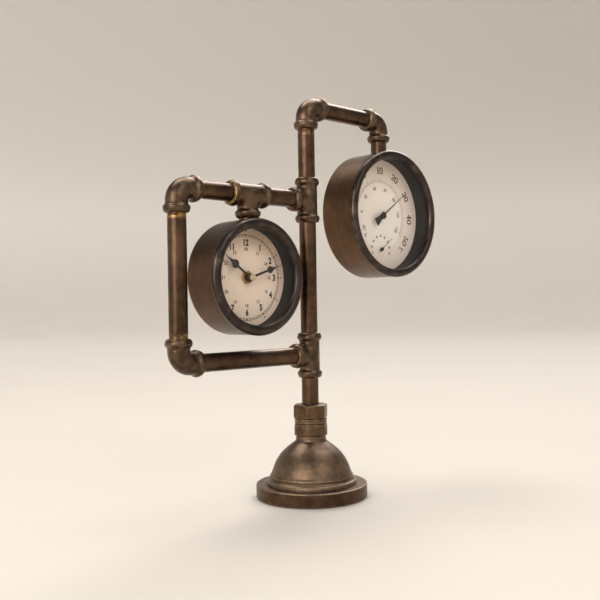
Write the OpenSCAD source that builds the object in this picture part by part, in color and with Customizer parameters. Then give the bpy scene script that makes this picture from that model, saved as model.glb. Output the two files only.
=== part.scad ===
// Table clock made of pipe and pipe fittings. A clock hangs in a square pipe loop on the left of the column,
// and a thermometer with a small hygrometer hangs from an arm on the right.
// The origin is the centre of the foot on the column's axis. +Z is up, and the dials face -Y.

/* [Pipework] */
// Outside diameter of every pipe
pipe_d = 17.2; // [15.5:0.1:19]
// Wall of every pipe
pipe_wall = 2.3; // [1.5:0.1:3]
// Length of pipe screwed into each fitting
socket_depth = 11; // [8:0.5:12]
// Centre of a fitting to the end of each outlet
fitting_reach = 23.4; // [22.5:0.1:27]
// Wall of a fitting's body around its pipe
fitting_wall = 1.7; // [1.3:0.1:2.4]
// Height of a fitting's end bead above its body
bead_rise = 2.2; // [1.6:0.1:3.5]
// Length of a fitting's end bead
bead_len = 7.2; // [5:0.1:8]
// Rounding of a bead's edges
bead_round = 1.5; // [0.6:0.1:1.5]
// Length of the sloping shoulder behind a bead
shoulder_len = 2; // [1:0.1:3]
// How much slimmer a tee's branch is than its run, in radius
branch_ease = 0.3; // [0.2:0.1:0.8]
// Radius of an elbow's bend, at its centre line
elbow_bend = 12.2; // [12:0.1:13]
// Radial play between a thread and its hole
thread_gap = 0.05; // [0.02:0.01:0.1]

/* [Frame] */
// Height of the lower tee's axis above the table
lower_tee_z = 143.6; // [135:0.1:170]
// Lower tee's axis to upper tee's axis
loop_h = 157.9; // [150:0.1:190]
// Upper tee's axis to the arm's axis
arm_rise = 95.6; // [80:0.1:130]
// Column's axis to the loop's side pipe
loop_w = 161.2; // [155:0.1:190]
// Column's axis to the clock's tee
clock_reach = 79; // [77:0.1:86]
// Column's axis to the drop pipe
arm_reach = 112.2; // [100:0.1:140]

/* [Stand] */
// Radius of the felt pad
pad_r = 52; // [46:0.5:53]
// Thickness of the felt pad
pad_h = 1.6; // [1.2:0.1:2.5]
// Depth of the pad's recess in the disc
pad_seat = 0.8; // [0.4:0.1:1]
// Radius of the base disc
disc_r = 56.5; // [55:0.5:75]
// Height of the base disc
disc_h = 13.2; // [12:0.1:18]
// Rounding of the disc's edges
disc_round = 1.6; // [0.5:0.1:2.5]
// Height of the ring on the disc that centres the bell
register_h = 1.5; // [1:0.1:2.5]
// Radius of the bell's foot ring
foot_r = 46; // [44.5:0.1:50]
// Height of the bell's foot ring
foot_h = 3.6; // [2.5:0.1:4.5]
// Radius of the step above the foot ring
step_r = 43.6; // [42.5:0.1:44.2]
// Height of the step above the foot ring
step_h = 2.2; // [1.8:0.1:3]
// Rounding of the bell's rings
ring_round = 0.9; // [0.4:0.1:1]
// Height of the flare above the step
flare_h = 6; // [4:0.1:7]
// Radius of the bell's dome
dome_r = 41.2; // [39:0.1:41.5]
// Height of the dome's centre above the disc
dome_rise = 3.6; // [2:0.1:5]
// Wall of the bell
bell_wall = 3; // [2:0.1:4]
// Height of the bell above the disc
bell_h = 48; // [47:0.1:54]
// Radius of the bell's neck
neck_r = 15.3; // [14:0.1:17]
// Width of the slope between dome and neck
neck_fillet = 2; // [1:0.1:3]
// Radius of the collar on the neck
collar_r = 16.9; // [15.6:0.1:19]
// Height of the collar
collar_h = 9.8; // [8:0.1:14]
// Rounding of the collar's edges
collar_round = 1.4; // [0.5:0.1:2]
// Outside radius of the coarse thread above the collar
ridge_r = 16.2; // [14:0.1:18]
// Depth of the coarse thread
ridge_depth = 0.9; // [0.5:0.1:1.5]
// Height of one turn of the coarse thread
ridge_pitch = 2.5; // [2.2:0.1:3.5]
// Turns of the coarse thread
ridge_count = 3; // [2:1:5]
// Radius of the collar's plug in the neck
plug_r = 12; // [10.5:0.1:12.5]
// Length of the collar's plug in the neck
plug_len = 10; // [7:0.5:14]
// Depth of the column's socket in the collar
column_seat = 14; // [10:0.5:15]
// Hex nut on the column, across flats
nut_af = 32; // [28:0.5:36]
// Height of the hex nut
nut_h = 14.5; // [10:0.5:18]
// Turn of the hex nut about the column
nut_turn = 36; // [0:1:59]
// Tie bolt's diameter
bolt_d = 8; // [6:0.5:9]
// Tie bolt's head, across flats
bolt_af = 13; // [12.5:0.5:15]
// Height of the tie bolt's head
bolt_head_h = 5.3; // [4:0.1:6]
// Length of tie bolt screwed into the collar
bolt_grip = 9; // [6:0.5:10]
// Room around the tie bolt's head
bolt_room = 1.5; // [1:0.1:3]

/* [Cases] */
// Radius of the clock's drum
clock_r = 55.2; // [54:0.1:57]
// Frame plane to the crest of the clock's bezel
clock_front = 19.5; // [18:0.1:22]
// Frame plane to the back of the clock's drum
clock_back = 23.2; // [22.2:0.1:30]
// Crest of the clock's bezel to its dial
clock_recess = 23; // [19:0.1:24]
// Gap between the clock's bezel and its tee
clock_gap = 0.2; // [0:0.1:3]
// Radial width of the clock's half-round bezel
clock_bezel_w = 10.2; // [9.5:0.1:11]
// Radius of the weather gauge's drum
thermo_r = 68.8; // [66:0.1:72]
// Frame plane to the crest of the gauge's bezel
thermo_front = 25.5; // [22:0.1:28]
// Frame plane to the back of the gauge's drum
thermo_back = 21; // [20:0.1:28]
// Crest of the gauge's bezel to its dial
thermo_recess = 24.7; // [20:0.1:28]
// Gap between the gauge's bezel and its elbow
thermo_gap = 11.4; // [4:0.1:20]
// Radial width of the gauge's half-round bezel
thermo_bezel_w = 9; // [8.4:0.1:11]
// Wall of both drums
case_wall = 1.2; // [1:0.1:2]
// How far a bezel stands proud of its drum
bezel_lip = 0.6; // [0.3:0.1:1.2]
// Wall of the ring by which a bezel sits in its drum
spigot_wall = 1.6; // [1.2:0.1:2]
// Thickness of the glass
glass_t = 1.6; // [1.2:0.1:1.8]
// How much wider a liner is inside than its bezel, in radius
liner_step = 2.4; // [1.6:0.1:2.5]
// Wall of a liner
liner_wall = 1.5; // [1:0.1:1.8]
// Thickness of a liner's flange
flange_t = 1.5; // [1:0.1:2.5]
// Thickness of a dial plate
dial_t = 0.8; // [0.5:0.1:1]
// Width of the ledge that carries a dial
ledge_w = 3.8; // [2.5:0.1:4]
// Thickness of the ledge that carries a dial
ledge_t = 1.5; // [1:0.1:2.5]
// Thickness of a back cover
cover_t = 1.5; // [1:0.1:1.8]
// Length of a cover's fixing lug
lug_len = 7; // [6.5:0.1:7.5]
// Width of a cover's fixing lug
lug_w = 8; // [7:0.1:10]
// Thickness of a cover's fixing lug
lug_t = 3; // [2:0.1:4]
// Diameter of a cover screw
screw_d = 3; // [2:0.1:3.5]
// Diameter of a cover screw's head
screw_head_d = 5.6; // [5:0.1:6]
// Height of a cover screw's head
screw_head_h = 1.8; // [1.2:0.1:2.5]
// Room between the movement and the window in the clock's cover
window_gap = 1.5; // [1:0.1:2.5]
// Vent slots in the gauge's cover
vent_count = 5; // [3:1:7]
// Length of a vent slot
vent_len = 30; // [16:1:40]
// Width of a vent slot
vent_w = 3; // [2:0.1:4]
// Distance from one vent slot to the next
vent_pitch = 8; // [6:0.1:10]
// Radial play of what sits inside a drum or neck
fit_gap = 0.1; // [0.05:0.01:0.15]

/* [Movement] */
// Diameter of the battery
battery_d = 14.5; // [14:0.1:14.8]
// Length of the battery
battery_len = 50.5; // [49.5:0.1:52]
// Diameter of the battery's end button
button_d = 5.5; // [4.5:0.1:6]
// Length of the battery's end button
button_len = 1.2; // [0.8:0.1:1.6]
// Thickness of a battery contact
contact_t = 0.4; // [0.3:0.1:0.6]
// Width of a battery contact
contact_w = 9; // [7:0.1:12]
// Height of the pressed boss on the minus contact
boss_h = 1.8; // [1:0.1:2.5]
// Room around the battery in its bay
bay_gap = 0.4; // [0.2:0.1:0.6]
// Wall of the movement's housing
move_wall = 1.3; // [1:0.1:1.6]
// Height of the wheel chamber inside
chamber_h = 36.8; // [36:0.1:40]
// Top of the wheel chamber to the hands' axis
shaft_down = 18.7; // [17.5:0.1:19]
// Side of the posts under the lid
post_w = 3; // [2:0.1:3.5]
// Outside diameter of the housing's threaded bush
bush_d = 8; // [7.2:0.1:9]
// Length of the bush in front of the dial
bush_out = 3.9; // [3.6:0.1:4.1]
// Brass fixing nut, across flats
fix_nut_af = 11.5; // [9.6:0.1:13]
// Height of the brass fixing nut
fix_nut_h = 2.4; // [1.6:0.1:3]
// Distance between the hands' axis and the setting arbor
set_centres = 13; // [12.6:0.1:13.4]
// Direction of the setting arbor, seen from the front
set_dir = 150; // [135:1:160]
// Thickness of the wheels
wheel_t = 1.3; // [1:0.1:1.5]
// Gap between wheels that pass each other
wheel_gap = 0.9; // [0.6:0.1:1]
// End play of the wheels
end_play = 0.1; // [0.05:0.01:0.15]
// Radius of the minute arbor
minute_shaft_r = 1.6; // [1.4:0.1:1.7]
// Wall of the hour wheel's tube
hour_tube_wall = 0.9; // [0.7:0.1:1]
// Radius of the setting arbor
set_shaft_r = 1.5; // [1.2:0.1:1.7]
// Radius of the pivots
pivot_r = 0.8; // [0.6:0.1:1]
// Radial play of running arbors
run_gap = 0.05; // [0.03:0.01:0.08]
// Radial play of what is pressed on an arbor
press_gap = 0.02; // [0.01:0.01:0.03]
// Thickness of the drive block
drive_h = 6; // [5:0.1:6.4]
// Width of the drive block
drive_w = 40; // [34:0.1:44]
// Height of the drive block above the hands' axis
drive_up = 3.6; // [3:0.1:4]
// Thickness of the circuit board
board_t = 0.8; // [0.6:0.1:1.2]
// Length of the circuit board
board_len = 22; // [20:0.1:23]
// Height of the circuit board
board_h = 11; // [10:0.1:12]
// Radius of the motor coil
coil_r = 2.4; // [1.8:0.1:2.5]
// Length of the motor coil
coil_len = 15; // [12:0.1:17]
// Side of the coil's end plates
coil_plate = 6; // [5.4:0.1:6.2]
// Thickness of the coil's end plates
coil_plate_t = 1.2; // [0.8:0.1:1.6]
// Radius of the setting knob
knob_r = 6; // [5:0.1:7]
// Height of the setting knob
knob_h = 2.4; // [2:0.1:3]
// Grooves around the setting knob
knob_grooves = 18; // [12:1:24]

/* [Hands] */
// Minutes past the hour shown
show_minute = 12; // [0:1:59]
// Hour shown
show_hour = 10; // [0:1:11]
// Length of the hour hand
hour_len = 38.5; // [34:0.1:40]
// Hub of the hour hand to the middle of its round bulge
hour_bulge_at = 21.4; // [18:0.1:24]
// Width of the hour hand's bulge
hour_bulge_w = 8.4; // [6:0.1:10]
// Length of the minute hand
minute_len = 41.5; // [38:0.1:43]
// Hub of the minute hand to the middle of its round bulge
minute_bulge_at = 24.5; // [20:0.1:28]
// Width of the minute hand's bulge
minute_bulge_w = 7; // [5:0.1:9]
// Width of a hand's stem at its hub
stem_w = 2.5; // [1.8:0.1:3]
// Width of a hand's stem at its bulge
stem_end_w = 2; // [1.5:0.1:2.6]
// Width of a hand at its tip
tip_w = 0.4; // [0.3:0.1:0.8]
// Radius of the hour hand's hub
hour_hub_r = 4; // [3.6:0.1:5]
// Radius of the minute hand's hub
minute_hub_r = 3.6; // [2.6:0.1:4]
// Thickness of a hand
hand_t = 0.5; // [0.4:0.1:0.8]
// Dial to the hour hand
hour_over = 4.9; // [4.7:0.1:5.2]
// Hour hand to the minute hand
minute_over = 2.4; // [2:0.1:2.6]
// Radius of the cap on the hands
cap_r = 3.5; // [2.6:0.1:4]
// Height of the cap on the hands
cap_h = 2.4; // [2:0.1:2.6]

/* [Weather gauge] */
// Temperature shown, in degrees Celsius
show_celsius = 28; // [-30:1:50]
// Temperature at the top of the scale
top_celsius = 10; // [0:1:20]
// Degrees of dial for one degree Celsius
celsius_step = 3.06; // [2.5:0.01:3.1]
// Humidity shown, in per cent
show_humidity = 70; // [0:1:100]
// Degrees of dial for one per cent of humidity
humidity_step = 2.7; // [2:0.1:3]
// Dial's centre down to the hygrometer
hygro_down = 37.3; // [34:0.1:40]
// Length of the thermometer's pointer
thermo_len = 44.4; // [34:0.1:54]
// Length of the thermometer pointer's tail
thermo_tail = 14.4; // [10:0.1:22]
// Width of the thermometer pointer's tail
thermo_tail_w = 9.4; // [5:0.1:11]
// Width of the thermometer pointer's stem
thermo_stem_w = 1.8; // [1.2:0.1:2.4]
// Width of the thermometer pointer's waist behind its hub
thermo_waist_w = 3.4; // [2.6:0.1:5]
// Corner radius of the thermometer pointer's six-sided hub
thermo_hub_r = 4.2; // [3:0.1:5]
// Height of the thermometer pointer's hub
thermo_hub_h = 1.4; // [0.8:0.1:2]
// Dial to the thermometer's pointer
thermo_over = 4.6; // [4:0.1:9]
// Length of the hygrometer's pointer
hygro_len = 21; // [10:0.1:21]
// Length of the hygrometer pointer's tail
hygro_tail = 5; // [3.5:0.1:7]
// Width of the hygrometer pointer's stem
hygro_stem_w = 0.8; // [0.8:0.1:1.6]
// Width of the hygrometer pointer's tail
hygro_tail_w = 3; // [2:0.1:4]
// Radius of the hygrometer pointer's hub
hygro_hub_r = 2.2; // [1.8:0.1:3]
// Dial to the hygrometer's pointer
hygro_over = 2.4; // [1.5:0.1:3]
// Thickness of a pointer
pointer_t = 0.5; // [0.4:0.1:0.8]
// Radius of the pointers' arbors
arbor_r = 1; // [0.9:0.1:1.2]
// Radius of the collet that carries a spiral's inner end
collet_r = 1.6; // [1.4:0.1:2]
// Outer radius of the thermometer's spiral
thermo_spiral_r = 10; // [8:0.1:12]
// Turns of the thermometer's spiral
thermo_turns = 4; // [3:1:5]
// Outer radius of the hygrometer's spiral
hygro_spiral_r = 7; // [6.5:0.1:9]
// Turns of the hygrometer's spiral
hygro_turns = 3; // [2:1:3]
// Width of a spiral's strip
strip_w = 4; // [3:0.1:5]
// Thickness of a spiral's strip
strip_t = 0.5; // [0.4:0.1:0.7]
// Dial to the spirals
spiral_back = 3; // [2:0.1:4]
// Radius of the posts that hold the spirals
hold_r = 1.2; // [1:0.1:1.6]
// Gap between a spiral's end and its post
hold_gap = 0.05; // [0.03:0.01:0.1]
// Width of the bridge
bridge_w = 12; // [8:0.1:14]
// Thickness of the bridge
bridge_t = 1.2; // [0.8:0.1:1.6]
// Dial to the bridge
bridge_back = 10; // [9.5:0.1:12]
// Length of the bridge past each arbor
bridge_past = 16; // [14:0.1:20]
// Length of the bridge's feet
bridge_foot = 5; // [3:0.1:6]

/* [Hidden] */
$fn = 96;
bronze = "#5a4636";
dark_bronze = "#3d3028";
iron = "#4b4039";
black = "#1c1a19";
brass = "#b8954f";
steel = "#9a9a9a";
paper = "#e6dcc4";
white_paper = "#ebe8de";
// Overlap that keeps a cut from ending on a face
cut = 1;

// Pipework
pipe_r = pipe_d / 2;
bore_r = pipe_r - pipe_wall;
socket_r = pipe_r + thread_gap;
body_r = pipe_r + fitting_wall;
bead_r = body_r + bead_rise;
seat = fitting_reach - socket_depth;
upper_tee_z = lower_tee_z + loop_h;
arm_z = upper_tee_z + arm_rise;

// Stand
disc_z = pad_h - pad_seat;
bell_z = disc_z + disc_h;
collar_z = bell_z + bell_h;
nut_z = collar_z + collar_h + ridge_count * ridge_pitch;
column_z = nut_z - column_seat;
hollow_r = dome_r - bell_wall;
register_r = sqrt(hollow_r * hollow_r - dome_rise * dome_rise) - fit_gap;
dome_h = function(r) dome_rise + sqrt(dome_r * dome_r - r * r);
bolt_r = bolt_d / 2;
bolt_corner_r = bolt_af / 2 / cos(30);
bolt_seat_z = pad_h + bolt_head_h + 0.2;
bolt_top_z = collar_z - plug_len + bolt_grip;

// Cases: depths are counted from the frame plane towards the viewer
function inside(r) = r - case_wall;
function fit_r(r) = inside(r) - fit_gap;
function bezel_mid(r, wide) = r + bezel_lip - wide / 2;
function bezel_seat(front, wide) = front - wide / 2 - glass_t;
function liner_in(r, wide) = r + bezel_lip - wide + liner_step;
clock_x = -clock_reach;
clock_z = upper_tee_z - fitting_reach - clock_gap - clock_r - bezel_lip;
clock_face = clock_front - clock_recess;
thermo_x = arm_reach;
thermo_z = arm_z - fitting_reach - thermo_gap - thermo_r - bezel_lip;
thermo_face = thermo_front - thermo_recess;
lug_angles = [90, 210, 330];
hole_r = screw_d / 2 + thread_gap;
clearance_r = screw_d / 2 + fit_gap;

// Movement: depths are counted from the back of the dial
battery_r = battery_d / 2;
move_front = clock_face - dial_t;
move_d = move_wall + bay_gap + battery_d;
bay_h = battery_d + 2 * bay_gap;
bay_len = battery_len + 2 * contact_t + boss_h + 2 * press_gap;
move_w = bay_len + 2 * move_wall;
move_h = chamber_h + bay_h + 3 * move_wall;
move_top = shaft_down + move_wall;
chamber_bottom = shaft_down - chamber_h;
bay_top = chamber_bottom - move_wall;
battery_y = bay_top - bay_gap - battery_r;
battery_z = move_front - move_wall - bay_gap - battery_r;
lid_back = move_front - move_d;
lid_front = lid_back + move_wall;
knob_back = lid_back - end_play - knob_h;
bush_r = bush_d / 2;
hour_bore_r = minute_shaft_r + run_gap;
hour_tube_r = hour_bore_r + hour_tube_wall;
hour_wheel_z = move_front - move_wall - wheel_gap - wheel_t;
motion_wheel_z = hour_wheel_z - wheel_gap - wheel_t;
drive_front = lid_front + drive_h;
set_x = set_centres * cos(set_dir);
set_y = set_centres * sin(set_dir);
cannon_teeth = 15;
motion_teeth = 45;
motion_leaves = 12;
hour_teeth = 48;
cannon_module = 2 * set_centres / (cannon_teeth + motion_teeth);
hour_module = 2 * set_centres / (motion_leaves + hour_teeth);
hour_angle = 30 * show_hour + show_minute / 2;
minute_angle = 6 * show_minute;
hour_hand_z = clock_face + hour_over;
minute_hand_z = hour_hand_z + hand_t + minute_over;

// Weather gauge
thermo_angle = (show_celsius - top_celsius) * celsius_step;
hygro_angle = (show_humidity - 50) * humidity_step;
thermo_dial_back = thermo_face - dial_t;
spiral_front = thermo_dial_back - spiral_back;
bridge_front = thermo_dial_back - bridge_back;
eye_r = collet_r + run_gap + strip_t / 2;

// Shapes used by several pieces

// Rectangle with rounded corners
module round_rect(w, h, r) {
    for (x = [r, w - r], y = [r, h - r])
        translate([x, y]) circle(r);
    translate([r, 0]) square([w - 2 * r, h]);
    translate([0, r]) square([w, h - 2 * r]);
}

// Half profile of a turned disc with rounded edges
module turned(r, h, round) {
    intersection() {
        translate([-r, 0]) round_rect(2 * r, h, round);
        square([r, h]);
    }
}

// Ring between two radii
module ring(outer, inner, h) {
    difference() {
        cylinder(r = outer, h = h);
        translate([0, 0, -cut]) cylinder(r = inner, h = h + 2 * cut);
    }
}

// Hexagon with a chamfer at both ends
module hex_nut(af, h) {
    corner = af / 2 / cos(30);
    slope = (corner - af / 2 + 0.4) * tan(30);
    intersection() {
        cylinder(r = corner, h = h, $fn = 6);
        rotate_extrude() polygon([
            [0, 0], [af / 2 - 0.2, 0], [corner + 0.2, slope],
            [corner + 0.2, h - slope], [af / 2 - 0.2, h], [0, h]
        ]);
    }
}

// Pipe along +Z
module pipe(length) {
    ring(pipe_r, bore_r, length);
}

// Pipe from x0 to x1 at height z
module level_pipe(x0, x1, z) {
    translate([x0, 0, z]) rotate([0, 90, 0]) pipe(x1 - x0);
}

// Pipe from z0 to z1 at x
module upright_pipe(z0, z1, x = 0) {
    translate([x, 0, z0]) pipe(z1 - z0);
}

// Bead and shoulder at the end of an outlet that points along +Z
module outlet() {
    translate([0, 0, fitting_reach - bead_len]) {
        rotate_extrude() translate([bore_r, 0]) round_rect(bead_r - bore_r, bead_len, bead_round);
        translate([0, 0, -shoulder_len])
            cylinder(r1 = body_r - 0.2, r2 = bead_r - bead_round, h = shoulder_len + bead_round);
    }
}

// Hole for the pipe in an outlet that points along +Z
module socket() {
    translate([0, 0, seat]) cylinder(r = socket_r, h = socket_depth + cut);
}

// Tee with its run along Z and its branch along +X
module tee() {
    turns = [[0, 0, 0], [180, 0, 0], [0, 90, 0]];
    difference() {
        union() {
            translate([0, 0, -fitting_reach]) cylinder(r = body_r, h = 2 * fitting_reach);
            rotate([0, 90, 0]) cylinder(r = body_r - branch_ease, h = fitting_reach);
            for (turn = turns)
                rotate(turn) outlet();
        }
        translate([0, 0, -seat - cut]) cylinder(r = bore_r, h = 2 * (seat + cut));
        rotate([0, 90, 0]) cylinder(r = bore_r - branch_ease, h = seat + cut);
        for (turn = turns)
            rotate(turn) socket();
    }
}

// Round bar of radius r that turns from -Z to +X
module bend(r, over) {
    translate([elbow_bend, 0, -elbow_bend]) rotate([90, 0, 0]) rotate([0, 0, 90])
        rotate_extrude(angle = 90) translate([elbow_bend, 0]) circle(r);
    translate([0, 0, -over]) cylinder(r = r, h = over - elbow_bend);
    translate([elbow_bend, 0, 0]) rotate([0, 90, 0]) cylinder(r = r, h = over - elbow_bend);
}

// Elbow with outlets along -Z and +X
module elbow() {
    turns = [[180, 0, 0], [0, 90, 0]];
    difference() {
        union() {
            bend(body_r, fitting_reach);
            for (turn = turns)
                rotate(turn) outlet();
        }
        bend(bore_r, seat + cut);
        for (turn = turns)
            rotate(turn) socket();
    }
}

// Places what follows on the clock's axis: X right, Y up, Z towards the viewer
module at_clock() {
    translate([clock_x, 0, clock_z]) rotate([90, 0, 0]) children();
}

// Places what follows on the weather gauge's axis
module at_thermo() {
    translate([thermo_x, 0, thermo_z]) rotate([90, 0, 0]) children();
}

// Drum with a ledge for the dial, lugs for the cover and a hole for its pipe
module drum(r, seat_z, back, face) {
    difference() {
        union() {
            translate([0, 0, -back]) ring(r, inside(r), back + seat_z);
            translate([0, 0, face - dial_t - ledge_t])
                ring(inside(r) + case_wall / 2, inside(r) - ledge_w, ledge_t);
            for (a = lug_angles)
                rotate(a) translate([inside(r) - lug_len, -lug_w / 2, cover_t - back])
                    cube([lug_len + case_wall / 2, lug_w, lug_t]);
        }
        translate([0, inside(r) - case_wall, 0]) rotate([-90, 0, 0])
            cylinder(r = socket_r, h = 2 * case_wall + cut);
        for (a = lug_angles)
            rotate(a) translate([inside(r) - lug_len / 2, 0, -back])
                cylinder(r = hole_r, h = cover_t + lug_t + cut);
    }
}

// Half-round bezel with a seat for the glass and a ring that sits in the drum
module bezel(r, wide, front, face) {
    back = bezel_seat(front, wide);
    rotate_extrude() {
        translate([bezel_mid(r, wide), back + glass_t]) intersection() {
            circle(wide / 2);
            translate([-wide, 0]) square([2 * wide, wide]);
        }
        translate([bezel_mid(r, wide), back]) square([wide / 2, glass_t]);
        translate([fit_r(r) - spigot_wall, face + flange_t])
            square([spigot_wall, back - face - flange_t]);
    }
}

// Glass in its bezel
module glass(r, wide, front) {
    translate([0, 0, bezel_seat(front, wide)]) cylinder(r = bezel_mid(r, wide) - fit_gap, h = glass_t);
}

// Black liner between dial and glass
module liner(r, wide, front, face) {
    inner = liner_in(r, wide);
    rotate_extrude() translate([inner, face]) {
        square([liner_wall, bezel_seat(front, wide) - face]);
        square([fit_r(r) - inner, flange_t]);
    }
}

// Plain dial plate
module dial_plate(r, face) {
    translate([0, 0, face - dial_t]) cylinder(r = fit_r(r), h = dial_t);
}

// Back cover with its screw holes
module cover(r, back) {
    difference() {
        translate([0, 0, -back]) cylinder(r = fit_r(r), h = cover_t);
        for (a = lug_angles)
            rotate(a) translate([inside(r) - lug_len / 2, 0, -back - cut])
                cylinder(r = clearance_r, h = cover_t + 2 * cut);
    }
}

// Round-headed screws of a back cover
module screws(r, back) {
    for (a = lug_angles)
        rotate(a) translate([inside(r) - lug_len / 2, 0, -back]) {
            cylinder(r = screw_d / 2, h = cover_t + lug_t);
            rotate([180, 0, 0]) rotate_extrude() turned(screw_head_d / 2, screw_head_h, screw_head_h / 3);
        }
}

// Toothed outline: slim teeth that leave play between the flanks
module teeth(count, module_size, first) {
    pitch = 360 / count;
    root = module_size * (count / 2 - 1.2);
    top = module_size * (count / 2 + 0.8);
    polygon([
        for (i = [0:count - 1], p = [[root, -0.28], [top, -0.1], [top, 0.1], [root, 0.28]])
            [p[0] * cos(first + (i + p[1]) * pitch), p[0] * sin(first + (i + p[1]) * pitch)]
    ]);
}

// Outline of a hand that points along +Y: a stem, a round bulge and a hollow-sided point
module spade_hand(length, at, wide, hub, hole) {
    steps = 12;
    place = function(i) at + (length - at) * i / steps;
    half = function(i) tip_w / 2 + (wide - tip_w) / 2 * pow(1 - i / steps, 3.2);
    difference() {
        union() {
            circle(hub);
            translate([0, at]) circle(wide / 2);
            polygon([[stem_w / 2, 0], [stem_end_w / 2, at], [-stem_end_w / 2, at], [-stem_w / 2, 0]]);
            polygon(concat(
                [for (i = [0:steps]) [half(i), place(i)]],
                [for (i = [steps:-1:0]) [-half(i), place(i)]]
            ));
        }
        circle(hole);
    }
}

// Outline of a needle that points along +Y, with a tail that widens from a waist
module needle(length, stem, waist, tail, tail_w) {
    polygon([
        [stem / 2, 0], [tip_w / 2, length], [-tip_w / 2, length], [-stem / 2, 0],
        [-waist / 2, 0], [-tail_w / 2, -tail], [tail_w / 2, -tail], [waist / 2, 0]
    ]);
}

// Flat spiral strip from an eye around the collet out to radius outer
module spiral(outer, turns) {
    steps = 20 * turns;
    radius = function(i) eye_r + (outer - eye_r) * i / steps;
    angle = function(i) 360 * turns * i / steps;
    edge = function(i, side) [
        (radius(i) + side * strip_t / 2) * cos(angle(i)),
        (radius(i) + side * strip_t / 2) * sin(angle(i))
    ];
    linear_extrude(strip_w) {
        difference() {
            circle(eye_r + strip_t / 2);
            circle(eye_r - strip_t / 2);
        }
        polygon(concat(
            [for (i = [1:steps]) edge(i, 1)],
            [for (i = [steps:-1:1]) edge(i, -1)]
        ));
    }
}

// Arbor of a pointer, with a collet for its spiral and a pivot in the bridge
module pointer_arbor(top) {
    translate([0, 0, bridge_front]) cylinder(r = arbor_r, h = top - bridge_front);
    translate([0, 0, bridge_front - bridge_t]) cylinder(r = pivot_r, h = bridge_t + cut);
    translate([0, 0, spiral_front - strip_w]) cylinder(r = collet_r, h = strip_w);
}

// Stand

// Felt pad under the base
module base_pad() {
    color("#26241f") cylinder(r = pad_r, h = pad_h);
}

// Heavy disc with a recess for the pad and a seat for the tie bolt
module base_disc() {
    color(dark_bronze) difference() {
        union() {
            translate([0, 0, disc_z]) rotate_extrude() turned(disc_r, disc_h, disc_round);
            translate([0, 0, bell_z - cut]) cylinder(r = register_r, h = register_h + cut);
        }
        translate([0, 0, disc_z - cut]) cylinder(r = pad_r + fit_gap, h = pad_seat + cut);
        translate([0, 0, disc_z]) cylinder(r = bolt_corner_r + bolt_room, h = bolt_seat_z - disc_z);
        cylinder(r = bolt_r + fit_gap, h = bell_z + register_h + cut);
    }
}

// Hollow bell with a stepped foot and a neck
module base_bell() {
    slope_r = neck_r + neck_fillet;
    flare_top = foot_h + step_h + flare_h;
    flare_r = sqrt(dome_r * dome_r - pow(flare_top - dome_rise, 2));
    color(bronze) translate([0, 0, bell_z]) rotate_extrude() difference() {
        union() {
            turned(foot_r, foot_h, ring_round);
            turned(step_r, foot_h + step_h, ring_round);
            polygon([
                [0, foot_h], [step_r - ring_round, foot_h + step_h - ring_round / 2],
                [flare_r, flare_top], [0, flare_top]
            ]);
            intersection() {
                translate([0, dome_rise]) circle(dome_r);
                square([dome_r, bell_h]);
            }
            polygon([
                [0, dome_h(slope_r)], [slope_r, dome_h(slope_r)],
                [neck_r, dome_h(slope_r) + neck_fillet], [0, dome_h(slope_r) + neck_fillet]
            ]);
            square([neck_r, bell_h]);
        }
        intersection() {
            translate([0, dome_rise]) circle(hollow_r);
            translate([0, -cut]) square([dome_r, bell_h]);
        }
        square([plug_r, bell_h + cut]);
    }
}

// Collar with a coarse thread, plugged into the neck and holding the column
module base_collar() {
    color(bronze) translate([0, 0, collar_z]) difference() {
        rotate_extrude() {
            translate([0, -plug_len]) square([plug_r - fit_gap, plug_len]);
            turned(collar_r, collar_h, collar_round);
            square([ridge_r - ridge_depth, collar_h + ridge_count * ridge_pitch]);
            for (i = [0:ridge_count - 1])
                translate([0, collar_h + i * ridge_pitch]) turned(ridge_r, ridge_pitch, ridge_depth);
        }
        translate([0, 0, column_z - collar_z]) cylinder(r = socket_r, h = column_seat + cut);
        translate([0, 0, -plug_len - cut]) cylinder(r = bolt_r + thread_gap, h = bolt_grip + cut);
    }
}

// Hex nut that locks the column
module base_nut() {
    color(bronze) translate([0, 0, nut_z]) difference() {
        rotate(nut_turn) hex_nut(nut_af, nut_h);
        translate([0, 0, -cut]) cylinder(r = socket_r, h = nut_h + 2 * cut);
    }
}

// Bolt that ties disc, bell and collar together
module tie_bolt() {
    color(steel) {
        translate([0, 0, bolt_seat_z - bolt_head_h]) hex_nut(bolt_af, bolt_head_h);
        translate([0, 0, bolt_seat_z - cut]) cylinder(r = bolt_r, h = bolt_top_z - bolt_seat_z + cut);
    }
}

// Pipes

// Column from the collar to the lower tee
module column_lower_pipe() {
    color(bronze) upright_pipe(column_z, lower_tee_z - seat);
}

// Column between the tees
module column_middle_pipe() {
    color(bronze) upright_pipe(lower_tee_z + seat, upper_tee_z - seat);
}

// Column from the upper tee to the top elbow
module column_upper_pipe() {
    color(bronze) upright_pipe(upper_tee_z + seat, arm_z - seat);
}

// Arm to the right
module arm_pipe() {
    color(bronze) level_pipe(seat, arm_reach - seat, arm_z);
}

// Pipe that the weather gauge hangs from, ending in the drum's wall
module drop_pipe() {
    color(bronze) upright_pipe(thermo_z + inside(thermo_r) + fit_gap, arm_z - seat, arm_reach);
}

// Bottom of the loop
module loop_bottom_pipe() {
    color(bronze) level_pipe(seat - loop_w, -seat, lower_tee_z);
}

// Side of the loop
module loop_side_pipe() {
    color(bronze) upright_pipe(lower_tee_z + seat, upper_tee_z - seat, -loop_w);
}

// Top of the loop, left of the clock's tee
module loop_top_outer_pipe() {
    color(bronze) level_pipe(seat - loop_w, -clock_reach - seat, upper_tee_z);
}

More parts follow.
